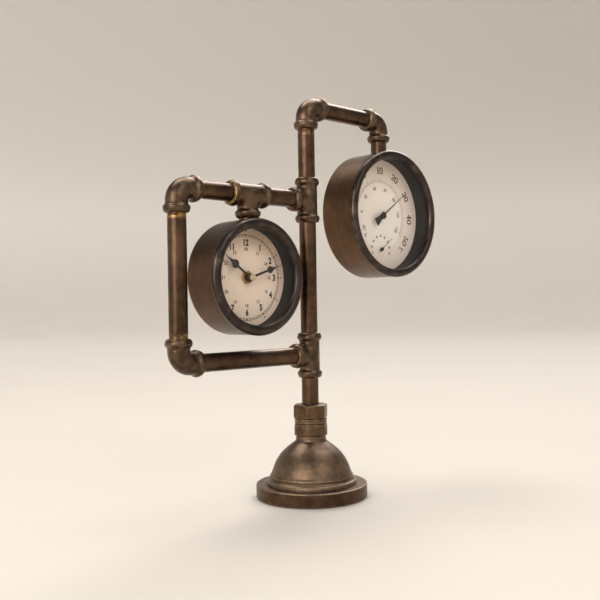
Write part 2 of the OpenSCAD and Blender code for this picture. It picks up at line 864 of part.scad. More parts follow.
// Top of the loop, right of the clock's tee
module loop_top_inner_pipe() {
    color(bronze) level_pipe(seat - clock_reach, -seat, upper_tee_z);
}

// Short pipe that the clock hangs from, ending in the drum's wall
module clock_hanger() {
    color(bronze) upright_pipe(clock_z + inside(clock_r) + fit_gap, upper_tee_z - seat, clock_x);
}

// Fittings

// Tee at the foot of the loop
module lower_tee() {
    color(iron) translate([0, 0, lower_tee_z]) rotate([0, 0, 180]) tee();
}

// Tee at the top of the loop
module upper_tee() {
    color(iron) translate([0, 0, upper_tee_z]) rotate([0, 0, 180]) tee();
}

// Tee above the clock
module clock_tee() {
    color(iron) translate([clock_x, 0, upper_tee_z]) rotate([0, 90, 0]) tee();
}

// Elbow at the top of the column
module top_elbow() {
    color(iron) translate([0, 0, arm_z]) elbow();
}

// Elbow at the end of the arm
module arm_elbow() {
    color(iron) translate([arm_reach, 0, arm_z]) rotate([0, 0, 180]) elbow();
}

// Upper outer elbow of the loop
module loop_top_elbow() {
    color(iron) translate([-loop_w, 0, upper_tee_z]) elbow();
}

// Lower outer elbow of the loop
module loop_bottom_elbow() {
    color(iron) translate([-loop_w, 0, lower_tee_z]) rotate([180, 0, 0]) elbow();
}

// Clock

// Drum of the clock
module clock_case() {
    color(bronze) at_clock()
        drum(clock_r, bezel_seat(clock_front, clock_bezel_w), clock_back, clock_face);
}

// Bezel of the clock
module clock_bezel() {
    color(dark_bronze) at_clock() bezel(clock_r, clock_bezel_w, clock_front, clock_face);
}

// Glass of the clock
module clock_glass() {
    color("#dfe8ea", 0.25) at_clock() glass(clock_r, clock_bezel_w, clock_front);
}

// Liner of the clock
module clock_liner() {
    color(black) at_clock() liner(clock_r, clock_bezel_w, clock_front, clock_face);
}

// Dial of the clock, with a hole for the movement's bush
module clock_dial() {
    color(paper) at_clock() difference() {
        dial_plate(clock_r, clock_face);
        translate([0, 0, clock_face - dial_t - cut]) cylinder(r = bush_r + fit_gap, h = dial_t + 2 * cut);
    }
}

// Back cover of the clock, with a window for the movement
module clock_cover() {
    color(dark_bronze) at_clock() difference() {
        cover(clock_r, clock_back);
        translate([-move_w / 2 - window_gap, move_top - move_h - window_gap, -clock_back - cut])
            cube([move_w + 2 * window_gap, move_h + 2 * window_gap, cover_t + 2 * cut]);
    }
}

// Screws of both back covers
module cover_screws() {
    color(steel) {
        at_clock() screws(clock_r, clock_back);
        at_thermo() screws(thermo_r, thermo_back);
    }
}

// Housing of the movement: wheel chamber above, battery bay below, threaded bush in front
module movement_case() {
    color(black) at_clock() difference() {
        union() {
            translate([-move_w / 2, move_top - move_h, lid_back]) cube([move_w, move_h, move_d]);
            translate([0, 0, move_front - cut]) cylinder(r = bush_r, h = dial_t + bush_out + cut);
        }
        difference() {
            translate([-bay_len / 2, chamber_bottom, lid_back - cut])
                cube([bay_len, chamber_h, move_d - move_wall + cut]);
            for (x = [-bay_len / 2, bay_len / 2 - post_w], y = [chamber_bottom, shaft_down - post_w])
                translate([x, y, lid_front]) cube([post_w, post_w, move_d]);
        }
        translate([-bay_len / 2, bay_top - bay_h, lid_back - cut])
            cube([bay_len, bay_h, move_d - move_wall + cut]);
        translate([0, 0, move_front - move_wall - cut])
            cylinder(r = hour_tube_r + run_gap, h = move_wall + dial_t + bush_out + 2 * cut);
        translate([set_x, set_y, move_front - move_wall - cut])
            cylinder(r = pivot_r + run_gap, h = move_wall + 2 * cut);
    }
}

// Lid of the wheel chamber
module movement_lid() {
    color(black) at_clock() difference() {
        translate([fit_gap - bay_len / 2, chamber_bottom + fit_gap, lid_back])
            cube([bay_len - 2 * fit_gap, chamber_h - 2 * fit_gap, move_wall]);
        translate([set_x, set_y, lid_back - cut])
            cylinder(r = set_shaft_r + run_gap, h = move_wall + 2 * cut);
    }
}

// Brass nut that holds the dial to the movement
module movement_nut() {
    color(brass) at_clock() translate([0, 0, clock_face]) difference() {
        rotate(15) hex_nut(fix_nut_af, fix_nut_h);
        translate([0, 0, -cut]) cylinder(r = bush_r + thread_gap, h = fix_nut_h + 2 * cut);
    }
}

// Closed block with the step motor's rotor and its reduction wheels
module drive_block() {
    color("#d8d4c8") at_clock() difference() {
        translate([-drive_w / 2, chamber_bottom + post_w + fit_gap, lid_front])
            cube([drive_w, drive_up - chamber_bottom - post_w - fit_gap, drive_h]);
        translate([0, 0, lid_front - cut]) cylinder(r = pivot_r + run_gap, h = drive_h + 2 * cut);
    }
}

// Coil of the step motor on its bobbin
module motor_coil() {
    left = bay_len / 2 - post_w - board_len;
    middle = drive_up + fit_gap + board_h / 2;
    color("#a5562f") at_clock() translate([left + (board_len - coil_len) / 2, middle, lid_front + board_t]) {
        translate([0, 0, coil_plate / 2]) rotate([0, 90, 0]) cylinder(r = coil_r, h = coil_len);
        for (x = [0, coil_len - coil_plate_t])
            translate([x, -coil_plate / 2, 0]) cube([coil_plate_t, coil_plate, coil_plate]);
    }
}

// Circuit board on the lid
module circuit_board() {
    color("#2f5c3a") at_clock() translate([bay_len / 2 - post_w - board_len, drive_up + fit_gap, lid_front])
        cube([board_len, board_h, board_t]);
}

// Setting arbor with the motion wheel and its pinion
module set_wheel() {
    color(brass) at_clock() translate([set_x, set_y, 0]) {
        translate([0, 0, knob_back]) cylinder(r = set_shaft_r, h = hour_wheel_z - knob_back);
        translate([0, 0, motion_wheel_z]) linear_extrude(wheel_t)
            teeth(motion_teeth, cannon_module, set_dir + 180 + 180 / motion_teeth);
        translate([0, 0, motion_wheel_z]) linear_extrude(move_front - move_wall - end_play - motion_wheel_z)
            teeth(motion_leaves, hour_module, set_dir + 180);
        translate([0, 0, hour_wheel_z]) cylinder(r = pivot_r, h = move_front - hour_wheel_z);
    }
}

// Knob for setting the hands
module set_knob() {
    color(black) at_clock() translate([set_x, set_y, knob_back]) difference() {
        cylinder(r = knob_r, h = knob_h);
        for (i = [0:knob_grooves - 1])
            rotate(360 * i / knob_grooves) translate([knob_r + 0.1, 0, -cut])
                cylinder(r = 0.5, h = knob_h + 2 * cut, $fn = 24);
        translate([0, 0, -cut]) cylinder(r = set_shaft_r + press_gap, h = knob_h + 2 * cut);
    }
}

// Arbor of the minute hand with its cannon pinion
module minute_arbor() {
    color(steel) at_clock() {
        translate([0, 0, drive_front + end_play])
            cylinder(r = minute_shaft_r, h = minute_hand_z + hand_t + cap_h / 2 - drive_front - end_play);
        translate([0, 0, lid_front + end_play]) cylinder(r = pivot_r, h = drive_h + cut);
        translate([0, 0, motion_wheel_z]) linear_extrude(wheel_t) teeth(cannon_teeth, cannon_module, set_dir);
    }
}

// Minute hand
module minute_hand() {
    color(black) at_clock() translate([0, 0, minute_hand_z]) rotate(-minute_angle) linear_extrude(hand_t)
        spade_hand(minute_len, minute_bulge_at, minute_bulge_w, minute_hub_r, minute_shaft_r + press_gap);
}

// Cap that holds the minute hand on its arbor
module hand_cap() {
    color("#d8c9a0") at_clock() translate([0, 0, minute_hand_z + hand_t]) difference() {
        rotate_extrude() turned(cap_r, cap_h, cap_h * 0.45);
        translate([0, 0, -cut]) cylinder(r = minute_shaft_r + press_gap, h = cap_h / 2 + press_gap + cut);
    }
}

// Hour wheel with the tube that carries the hour hand
module hour_wheel() {
    tube_len = hour_hand_z + hand_t - hour_wheel_z;
    color(brass) at_clock() difference() {
        union() {
            translate([0, 0, hour_wheel_z]) linear_extrude(wheel_t)
                teeth(hour_teeth, hour_module, set_dir + 180 / hour_teeth);
            translate([0, 0, hour_wheel_z]) cylinder(r = hour_tube_r, h = tube_len);
            translate([0, 0, hour_wheel_z]) cylinder(r = bush_r, h = wheel_t + wheel_gap - end_play);
        }
        translate([0, 0, hour_wheel_z - cut]) cylinder(r = hour_bore_r, h = tube_len + 2 * cut);
    }
}

// Hour hand
module hour_hand() {
    color(black) at_clock() translate([0, 0, hour_hand_z]) rotate(-hour_angle) linear_extrude(hand_t)
        spade_hand(hour_len, hour_bulge_at, hour_bulge_w, hour_hub_r, hour_tube_r + press_gap);
}

// Battery, with its button to the right
module battery() {
    right = bay_len / 2 - contact_t - press_gap;
    color("#c9a23a") at_clock() translate([right, battery_y, battery_z]) rotate([0, -90, 0]) {
        cylinder(r = button_d / 2, h = button_len + cut);
        translate([0, 0, button_len]) rotate_extrude() turned(battery_r, battery_len - button_len, 0.6);
    }
}

// Flat contact at the battery's button
module contact_plus() {
    color(steel) at_clock() translate([bay_len / 2 - contact_t, battery_y, battery_z])
        translate([0, -contact_w / 2, -contact_w / 2]) cube([contact_t, contact_w, contact_w]);
}

// Contact with a pressed boss at the battery's flat end
module contact_minus() {
    color(steel) at_clock() translate([-bay_len / 2, battery_y, battery_z]) {
        translate([0, -contact_w / 2, -contact_w / 2]) cube([contact_t, contact_w, contact_w]);
        rotate([0, 90, 0]) cylinder(r1 = contact_w / 3, r2 = contact_w / 5, h = contact_t + boss_h);
    }
}

// Weather gauge

// Drum of the weather gauge
module thermo_case() {
    color(bronze) at_thermo()
        drum(thermo_r, bezel_seat(thermo_front, thermo_bezel_w), thermo_back, thermo_face);
}

// Bezel of the weather gauge
module thermo_bezel() {
    color(dark_bronze) at_thermo() bezel(thermo_r, thermo_bezel_w, thermo_front, thermo_face);
}

// Glass of the weather gauge
module thermo_glass() {
    color("#dfe8ea", 0.25) at_thermo() glass(thermo_r, thermo_bezel_w, thermo_front);
}

// Liner of the weather gauge
module thermo_liner() {
    color(black) at_thermo() liner(thermo_r, thermo_bezel_w, thermo_front, thermo_face);
}

// Dial of the weather gauge, with a hole for each arbor
module thermo_dial() {
    color(white_paper) at_thermo() difference() {
        dial_plate(thermo_r, thermo_face);
        for (y = [0, -hygro_down])
            translate([0, y, thermo_dial_back - cut]) cylinder(r = arbor_r + run_gap, h = dial_t + 2 * cut);
    }
}

// Back cover of the weather gauge, with vents
module thermo_cover() {
    color(dark_bronze) at_thermo() difference() {
        cover(thermo_r, thermo_back);
        for (i = [0:vent_count - 1])
            translate([0, (i - (vent_count - 1) / 2) * vent_pitch, -thermo_back - cut])
                translate([-vent_len / 2, -vent_w / 2, 0]) cube([vent_len, vent_w, cover_t + 2 * cut]);
    }
}

// Bridge behind the dial, with a pivot hole and a post for each spiral
module thermo_bridge() {
    top = bridge_past;
    bottom = -hygro_down - bridge_past;
    rear = bridge_front - bridge_t;
    color(brass) at_thermo() difference() {
        union() {
            translate([-bridge_w / 2, bottom, rear]) cube([bridge_w, top - bottom, bridge_t]);
            for (y = [bottom, top - bridge_t])
                translate([-bridge_w / 2, y, rear]) cube([bridge_w, bridge_t, bridge_back + bridge_t]);
            for (y = [bottom - bridge_foot + bridge_t, top - bridge_t])
                translate([-bridge_w / 2, y, thermo_dial_back - bridge_t])
                    cube([bridge_w, bridge_foot, bridge_t]);
            for (place = [[thermo_spiral_r, 0], [hygro_spiral_r, -hygro_down]])
                translate([0, place[1] + place[0] + strip_t / 2 + hold_gap + hold_r, rear])
                    cylinder(r = hold_r, h = spiral_front - rear);
        }
        for (y = [0, -hygro_down])
            translate([0, y, rear - cut]) cylinder(r = pivot_r + run_gap, h = bridge_t + 2 * cut);
    }
}

// Two-metal spiral of the thermometer
module thermo_spiral() {
    color(brass) at_thermo() translate([0, 0, spiral_front - strip_w]) rotate(90)
        spiral(thermo_spiral_r, thermo_turns);
}

// Arbor of the thermometer's pointer
module thermo_arbor() {
    color(steel) at_thermo() pointer_arbor(thermo_face + thermo_over + thermo_hub_h);
}

// Pointer of the thermometer, with a six-sided hub
module thermo_pointer() {
    color(black) at_thermo() translate([0, 0, thermo_face + thermo_over]) rotate(-thermo_angle) difference() {
        union() {
            linear_extrude(pointer_t)
                needle(thermo_len, thermo_stem_w, thermo_waist_w, thermo_tail, thermo_tail_w);
            rotate(90) cylinder(r = thermo_hub_r, h = thermo_hub_h, $fn = 6);
        }
        translate([0, 0, -cut]) cylinder(r = arbor_r + press_gap, h = thermo_hub_h + 2 * cut);
    }
}

// Spiral of the hygrometer
module hygro_spiral() {
    color(brass) at_thermo() translate([0, -hygro_down, spiral_front - strip_w]) rotate(90)
        spiral(hygro_spiral_r, hygro_turns);
}

// Arbor of the hygrometer's pointer
module hygro_arbor() {
    color(steel) at_thermo() translate([0, -hygro_down, 0])
        pointer_arbor(thermo_face + hygro_over + pointer_t);
}

// Pointer of the hygrometer
module hygro_pointer() {
    color(black) at_thermo() translate([0, -hygro_down, thermo_face + hygro_over]) rotate(-hygro_angle)
        linear_extrude(pointer_t) difference() {
            union() {
                circle(hygro_hub_r);
                needle(hygro_len, hygro_stem_w, hygro_stem_w, hygro_tail, hygro_tail_w);
            }
            circle(arbor_r + press_gap);
        }
}

base_pad();
base_disc();
base_bell();
base_collar();
base_nut();
tie_bolt();
column_lower_pipe();
column_middle_pipe();
column_upper_pipe();
arm_pipe();
drop_pipe();
loop_bottom_pipe();
loop_side_pipe();
loop_top_outer_pipe();
loop_top_inner_pipe();
clock_hanger();
lower_tee();
upper_tee();
clock_tee();
top_elbow();
arm_elbow();
loop_top_elbow();
loop_bottom_elbow();
clock_case();
clock_bezel();
clock_glass();
clock_liner();
clock_dial();
clock_cover();
cover_screws();
movement_case();
movement_lid();
movement_nut();
drive_block();
motor_coil();
circuit_board();
set_wheel();
set_knob();
minute_arbor();
minute_hand();
hand_cap();
hour_wheel();
hour_hand();
battery();
contact_plus();
contact_minus();
thermo_case();
thermo_bezel();
thermo_glass();
thermo_liner();
thermo_dial();
thermo_cover();
thermo_bridge();
thermo_spiral();
thermo_arbor();
thermo_pointer();
hygro_spiral();
hygro_arbor();
hygro_pointer();
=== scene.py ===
import math
from functools import partialmethod
import bmesh
import bpy
import numpy as np
from mathutils import Matrix, Vector


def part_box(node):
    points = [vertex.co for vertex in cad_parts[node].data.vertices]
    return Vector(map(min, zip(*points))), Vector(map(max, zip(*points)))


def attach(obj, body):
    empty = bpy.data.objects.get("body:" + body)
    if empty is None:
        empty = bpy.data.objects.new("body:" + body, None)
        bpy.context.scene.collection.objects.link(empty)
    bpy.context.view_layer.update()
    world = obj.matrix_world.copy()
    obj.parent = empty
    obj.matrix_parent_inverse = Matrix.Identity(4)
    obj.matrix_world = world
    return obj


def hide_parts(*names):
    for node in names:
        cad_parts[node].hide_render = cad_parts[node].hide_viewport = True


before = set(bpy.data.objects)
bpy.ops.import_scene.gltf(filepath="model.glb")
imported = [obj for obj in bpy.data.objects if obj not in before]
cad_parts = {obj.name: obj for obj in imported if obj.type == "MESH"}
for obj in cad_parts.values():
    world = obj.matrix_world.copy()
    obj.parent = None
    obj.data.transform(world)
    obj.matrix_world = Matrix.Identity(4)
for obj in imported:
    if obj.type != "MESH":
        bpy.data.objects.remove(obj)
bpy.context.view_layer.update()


# Felt pad
# A disc of black wool felt glued into the recess under the base, so that the iron doesn't mark a table.
# It is die cut from pressed felt, and only its edge and its underside show.
MM = 0.001


def tone(code):
    """Colour from its six hex digits, as the shader takes it."""
    parts = [int(code[i:i + 2], 16) / 255 for i in (0, 2, 4)]
    return tuple(c / 12.92 if c < 0.04045 else ((c + 0.055) / 1.055) ** 2.4 for c in parts) + (1.0,)


class Wire:
    """A shader socket that can stand in a sum: each operator adds the Math node that works it out."""

    def __init__(self, tree, socket=None):
        self.tree = tree
        self.socket = socket

    def node(self, kind, settings, sockets, out=0):
        """Any other node: its settings first, then the values or links of its sockets."""
        made = self.tree.nodes.new(kind)
        for name, value in settings.items():
            setattr(made, name, value)
        for name, value in sockets.items():
            if isinstance(value, Wire):
                self.tree.links.new(value.socket, made.inputs[name])
            else:
                made.inputs[name].default_value = value
        return Wire(self.tree, made.outputs[out])

    def sum(self, operation, other):
        return self.node("ShaderNodeMath", {"operation": operation}, {0: self, 1: other})

    __add__ = __radd__ = partialmethod(sum, "ADD")
    __mul__ = __rmul__ = partialmethod(sum, "MULTIPLY")
    __sub__ = partialmethod(sum, "SUBTRACT")
    __pow__ = partialmethod(sum, "POWER")

    def __rsub__(self, other):
        return self * -1 + other

    def step(self, low, high):
        """0 below low, 1 above high, and a soft change between them."""
        sockets = {0: self, 1: low, 2: high, 3: 0.0, 4: 1.0}
        return self.node("ShaderNodeMapRange", {"interpolation_type": "SMOOTHSTEP"}, sockets)

    def mix(self, first, second):
        """A colour, from first to second as this value goes from 0 to 1; each is hex digits or a wire."""
        first, second = (tone(end) if isinstance(end, str) else end for end in (first, second))
        sockets = {0: self, 6: first, 7: second}
        return self.node("ShaderNodeMix", {"data_type": "RGBA", "clamp_factor": True}, sockets, 2)

    def vector(self, operation, other, out=0):
        return self.node("ShaderNodeVectorMath", {"operation": operation}, {0: self, 1: other}, out)

    def stretch(self, x, y, z):
        return self.vector("MULTIPLY", (x, y, z))

    def along(self, axis):
        return self.node("ShaderNodeSeparateXYZ", {}, {0: self}, axis)

    def away(self, centre):
        """Distance from the axis of a dial."""
        return self.stretch(1, 0, 1).vector("DISTANCE", (centre[0] * MM, 0, centre[1] * MM), "Value")

    def noise(self, per_metre, detail=3.0, rough=0.55):
        sockets = {"Vector": self, "Scale": per_metre, "Detail": detail, "Roughness": rough}
        return self.node("ShaderNodeTexNoise", {}, sockets)

    def read(self, mark):
        """A mark that was left on the mesh's points."""
        return self.node("ShaderNodeAttribute", {"attribute_name": mark}, {}, "Fac")

    def bump(self, depth_mm):
        sockets = {"Height": self, "Strength": 1.0, "Distance": depth_mm * MM}
        return self.node("ShaderNodeBump", {}, sockets)


def finish(name, fixed, vary):
    """A material: fixed values go straight on the shader, and vary gives what changes over the surface."""
    made = bpy.data.materials.new(name)
    made.use_nodes = True
    shader = made.node_tree.nodes["Principled BSDF"]
    for socket, value in fixed.items():
        shader.inputs[socket].default_value = value
    at = Wire(made.node_tree).node("ShaderNodeTexCoord", {}, {}, "Object")
    for socket, wire in vary(at).items():
        made.node_tree.links.new(wire.socket, shader.inputs[socket])
    return made


def dress(material, *nodes):
    """Gives a finish to nodes that keep their own shape."""
    for node in nodes:
        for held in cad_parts[node].material_slots:
            held.material = material


def felt_fibres(at):
    fibre = at.noise(1600, 4, 0.7)
    tuft = at.noise(240)
    return {
        "Base Color": (fibre * 0.7 + tuft * 0.4).step(0.35, 0.8).mix("0f0e0d", "2c2925"),
        "Roughness": 0.88 + fibre * 0.1,
        "Normal": fibre.bump(0.25),
    }


dress(finish("black_felt", {"Sheen Weight": 0.3}, felt_fibres), "base_pad")


# Foot: disc, bell, collar and lock nut
# Cast iron turned on a lathe, then plated and browned to an antique bronze; edges wear lighter and carry a
# painted highlight.
# The bell sits on the disc, the collar plugs into its neck, and a bolt from below ties the three together.
corner_share, shortest_side, edge_limit = 0.48, 0.05, 1.2


def softened(corners, steps=6):
    """Closed outline through corners, each (across, along), or (across, along, radius) to round it off."""
    outline = []
    for i, (x, y, *soft) in enumerate(corners):
        here = Vector((x, y))
        if not soft:
            outline.append(here)
            continue
        back = Vector(corners[i - 1][:2]) - here
        ahead = Vector(corners[(i + 1) % len(corners)][:2]) - here
        half = back.angle(ahead) / 2
        reach = min(soft[0] / math.tan(half), corner_share * min(back.length, ahead.length))
        radius = reach * math.tan(half)
        back.normalize()
        ahead.normalize()
        centre = here + (back + ahead).normalized() * (radius / math.sin(half))
        first = here + back * reach - centre
        last = here + ahead * reach - centre
        for step in range(steps + 1):
            outline.append(centre + first.lerp(last, step / steps).normalized() * radius)
    return np.array([tuple(p) for p in outline])


def evenly(outline, longest=1.3):
    """The same outline with points added, so that no side is longer than that."""
    points = []
    for here, ahead in zip(outline, np.roll(outline, -1, 0)):
        count = max(1, math.ceil(np.linalg.norm(ahead - here) / longest))
        points += [here + (ahead - here) * k / count for k in range(count)]
    return np.array(points)


def sharpness(outline, spread=4):
    """For each point, how hard the outline turns there: above 0 on an outer edge, below 0 in a crease."""
    ahead = np.roll(outline, -1, 0) - outline
    back = np.roll(ahead, 1, 0)
    turn = np.arctan2(back[:, 0] * ahead[:, 1] - back[:, 1] * ahead[:, 0], (back * ahead).sum(1))
    length = (np.linalg.norm(ahead, axis=1) + np.linalg.norm(back, axis=1)) / 2
    x, y = outline.T
    way = np.sign((x * np.roll(y, -1) - y * np.roll(x, -1)).sum())
    sharp = np.clip(way * turn / np.maximum(length, shortest_side), -edge_limit, edge_limit)
    for _ in range(spread):
        sharp = (np.roll(sharp, 1) + 2 * sharp + np.roll(sharp, -1)) / 4
    return sharp


def turned(outline, count):
    """Points, faces and marks of the ring that the outline sweeps about Z, in that many sides."""
    angles = np.arange(count) * 2 * math.pi / count
    rows = len(outline)
    points = np.stack([
        np.outer(np.cos(angles), outline[:, 0]),
        np.outer(np.sin(angles), outline[:, 0]),
        np.outer(np.ones(count), outline[:, 1]),
    ], -1).reshape(-1, 3)
    a, b = np.meshgrid(np.arange(count), np.arange(rows), indexing="ij")
    a2, b2 = (a + 1) % count, (b + 1) % rows
    corners = [a * rows + b, a * rows + b2, a2 * rows + b2, a2 * rows + b]
    faces = np.stack([c.ravel() for c in corners], -1).tolist()
    return points, faces, {"edge": np.tile(sharpness(outline), count)}


def meshed(name, points, faces, marks=None):
    """Clean mesh in metres from points in millimetres, faces and marks."""
    mesh = bpy.data.meshes.new(name)
    mesh.from_pydata((np.asarray(points) * MM).tolist(), [], faces)
    for mark, values in (marks or {}).items():
        mesh.attributes.new(mark, "FLOAT", "POINT").data.foreach_set("value", np.asarray(values, np.float32))
    work = bmesh.new()
    work.from_mesh(mesh)
    bmesh.ops.remove_doubles(work, verts=work.verts, dist=1e-7)
    bmesh.ops.recalc_face_normals(work, faces=work.faces)
    work.to_mesh(mesh)
    work.free()
    return mesh


def brought(name, data):
    """A new object in the scene that holds a mesh, figures, a lamp or a lens."""
    made = bpy.data.objects.new(name, data)
    bpy.context.scene.collection.objects.link(made)
    return made


def piece(name, shape, material, nodes=(), body="stand", smooth=40):
    """Makes an object of that shape and finish, and sets it on its body."""
    mesh = meshed(name, *shape)
    mesh.shade_smooth()
    mesh.set_sharp_from_angle(angle=math.radians(smooth))
    mesh.materials.append(material)
    made = brought(name, mesh)
    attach(made, body)
    if nodes:
        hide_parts(*nodes)
    return made


def box_mm(node):
    low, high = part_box(node)
    return np.array(low) / MM, np.array(high) / MM


# First tone: brass where marked bare, worn and partly a painted warm reflection. Second: creases, dirt with
# painted shade.
brass_wear_and_reflection, crease_dirt_and_shade_tone = "a8844c", "241a13"


def bronze(name, brown, deep, rough, blotch, grain=1500, pits=0.02, wear_and_highlight_tone="9e8976"):
    """Browned plating: blotches, grain, worn edges with painted highlight, creases with dirt and painted
    shade, bare brass with painted reflection.
    """
    def vary(at):
        edge = at.read("edge")
        cloud = at.noise(blotch, 5, 0.62)
        patch = at.noise(blotch * 4.3, 4, 0.6)
        fine = at.noise(grain, 3, 0.6)
        # Convex edges lighter: part wear, part a painted highlight in the colour of lit edges.
        wear_and_highlight = (edge + (patch - 0.5) * 0.9 + (fine - 0.5) * 0.5).step(0.2, 0.75)
        # Creases darker: part dirt, part painted shade where fillets and bead undersides lie in shade.
        dirt_and_shade_mask = ((patch - 0.5) * 0.6 - edge).step(0.2, 0.9)
        fleck = fine.step(0.62, 0.74) * patch.step(0.45, 0.65)
        # Brass where marked bare: part worn through, part a painted warm reflection at bead ends and thread
        # ends.
        bare = at.read("bare") * patch.step(0.38, 0.6)
        ground = (cloud * 0.65 + patch * 0.35).step(0.36, 0.64).mix(deep, brown)
        ground = (fleck * 0.35).mix(ground, wear_and_highlight_tone)
        ground = (wear_and_highlight * 0.45).mix(ground, wear_and_highlight_tone)
        ground = (bare * 0.8).mix(ground, brass_wear_and_reflection)
        return {
            "Base Color": (dirt_and_shade_mask * 0.5).mix(ground, crease_dirt_and_shade_tone),
            "Roughness": rough + (cloud - 0.5) * 0.24 + (fine - 0.5) * 0.14 + dirt_and_shade_mask * 0.15 - wear_and_highlight * 0.06,
            "Normal": (fine * 0.5 + patch * 0.8 + cloud).bump(pits * 6),
        }
    return finish(name, {"Metallic": 0.9}, vary)


foot_bronze = bronze("foot_bronze", "664f3b", "443427", 0.32, blotch=55, pits=0.025, wear_and_highlight_tone="8a745f")
# The bell is toned lighter than the disc and collar for its broad sheen: painted light on the same finish.
bell_bronze_painted_sheen = bronze("bell_bronze_painted_sheen", "745f4c", "544538", 0.39, blotch=48)
disc_bronze = bronze("disc_bronze", "584230", "3c2d22", 0.37, blotch=38)
foot_sides, collar_sides = 192, 144

disc_low, disc_high = box_mm("base_disc")
bell_low, bell_high = box_mm("base_bell")
pad_high = box_mm("base_pad")[1]
disc_round, edge_break = 1.1, 0.3
register_r, recess_r = 37.9, pad_high[0] + 0.1
bolt_hole_r, bolt_seat_r, bolt_seat_z = 4.1, 9.0, 7.1
disc_outline = softened([
    (disc_high[0], disc_low[2], disc_round), (disc_high[0], bell_low[2], disc_round),
    (register_r, bell_low[2]), (register_r, disc_high[2], edge_break),
    (bolt_hole_r, disc_high[2], edge_break), (bolt_hole_r, bolt_seat_z),
    (bolt_seat_r, bolt_seat_z), (bolt_seat_r, pad_high[2]),
    (recess_r, pad_high[2]), (recess_r, disc_low[2], edge_break),
])
piece("foot_disc", turned(evenly(disc_outline), foot_sides), disc_bronze, ["base_disc"])


def flowing(points, per_side=8):
    """A smooth line through the points."""
    ends = [2 * points[0] - points[1], *points, 2 * points[-1] - points[-2]]
    line = []
    for a, b, c, d in zip(ends, ends[1:], ends[2:], ends[3:]):
        for t in np.arange(per_side) / per_side:
            bend = 2 * a - 5 * b + 4 * c - d
            line.append((2 * b + (c - a) * t + bend * t ** 2 + (3 * b - a - 3 * c + d) * t ** 3) / 2)
    return line + [points[-1]]


foot_r, neck_r, neck_bore_r, neck_round = bell_high[0], 15.3, 12.0, 0.5
hollow_r, hollow_z, hollow_foot_r = 38.2, bell_low[2] + 3.6, 38.0
bell_skin = np.array([
    (foot_r, bell_low[2]), (foot_r - 0.1, bell_low[2] + 1.8), (foot_r - 0.9, bell_low[2] + 3.8),
    (43.7, 18.3), (42.4, 19.5), (42.0, 20.6), (42.3, 21.7), (41.9, 23.0), (40.7, 24.6), (39.7, 27.6),
    (37.5, 33.6), (33.8, 40.2), (28.9, 46.2), (23.0, 51.3), (18.4, 54.8), (16.0, 56.8), (neck_r, 58.8),
])
hollow_tilts = np.linspace(math.acos(neck_bore_r / hollow_r), math.acos(hollow_foot_r / hollow_r), 26)
bell_outline = softened(
    flowing(bell_skin)
    + [(neck_r, bell_high[2], neck_round), (neck_bore_r, bell_high[2])]
    + [(hollow_r * math.cos(t), hollow_z + hollow_r * math.sin(t)) for t in hollow_tilts]
)
piece("foot_bell", turned(evenly(bell_outline), foot_sides), bell_bronze_painted_sheen, ["base_bell"])

collar_low, collar_high = box_mm("base_collar")
collar_r, collar_round = collar_high[0], 1.6
plug_r, bolt_thread_r, bolt_end_z = 11.9, 4.05, collar_low[2] + 9
column_bore_r, column_end_z = 8.65, collar_high[2] - 14
ridge_r, ridge_round, ridge_z = 16.5, 0.7, collar_high[2] - 7.5
deep_groove_r, fine_groove_r, groove_half, groove_round = 15.6, ridge_r - 0.3, 0.3, 0.3
collar_corners = [
    (plug_r, collar_low[2], edge_break), (plug_r, bell_high[2]), (collar_r, bell_high[2], collar_round),
    (collar_r, ridge_z - 0.3, 0.9), (collar_r - 0.5, ridge_z, groove_round),
]
for start, end, groove_r in ((0.3, 2.3, deep_groove_r), (3.2, 5.0, fine_groove_r), (5.3, 7.3, fine_groove_r)):
    collar_corners += [(ridge_r, ridge_z + start, ridge_round), (ridge_r, ridge_z + end, ridge_round)]
    collar_corners += [(groove_r, ridge_z + end + groove_half, groove_round)]
collar_corners += [(column_bore_r, collar_high[2]), (column_bore_r, column_end_z), (0, column_end_z)]
collar_corners += [(0, bolt_end_z), (bolt_thread_r, bolt_end_z), (bolt_thread_r, collar_low[2])]
collar_shape = turned(evenly(softened(collar_corners)), collar_sides)
piece("foot_collar", collar_shape, foot_bronze, ["base_collar"])


def rod(p, axis, radius, start, end, soft=0.0):
    """Distance to a round bar along an axis, with rounded ends."""
    across = np.sqrt((np.delete(p, axis, -1) ** 2).sum(-1)) - radius + soft
    along = np.abs(p[..., axis] - (start + end) / 2) - (end - start) / 2 + soft
    outside = np.sqrt(np.maximum(across, 0) ** 2 + np.maximum(along, 0) ** 2)
    return outside + np.minimum(np.maximum(across, along), 0) - soft


def join(a, b, soft):
    """Two solids run together with a fillet."""
    share = np.clip(0.5 + 0.5 * (b - a) / soft, 0, 1)
    return b + (a - b) * share - soft * share * (1 - share)


def meet(a, b, soft):
    """What two solids have in common, with its edges rounded."""
    return -join(-a, -b, soft)


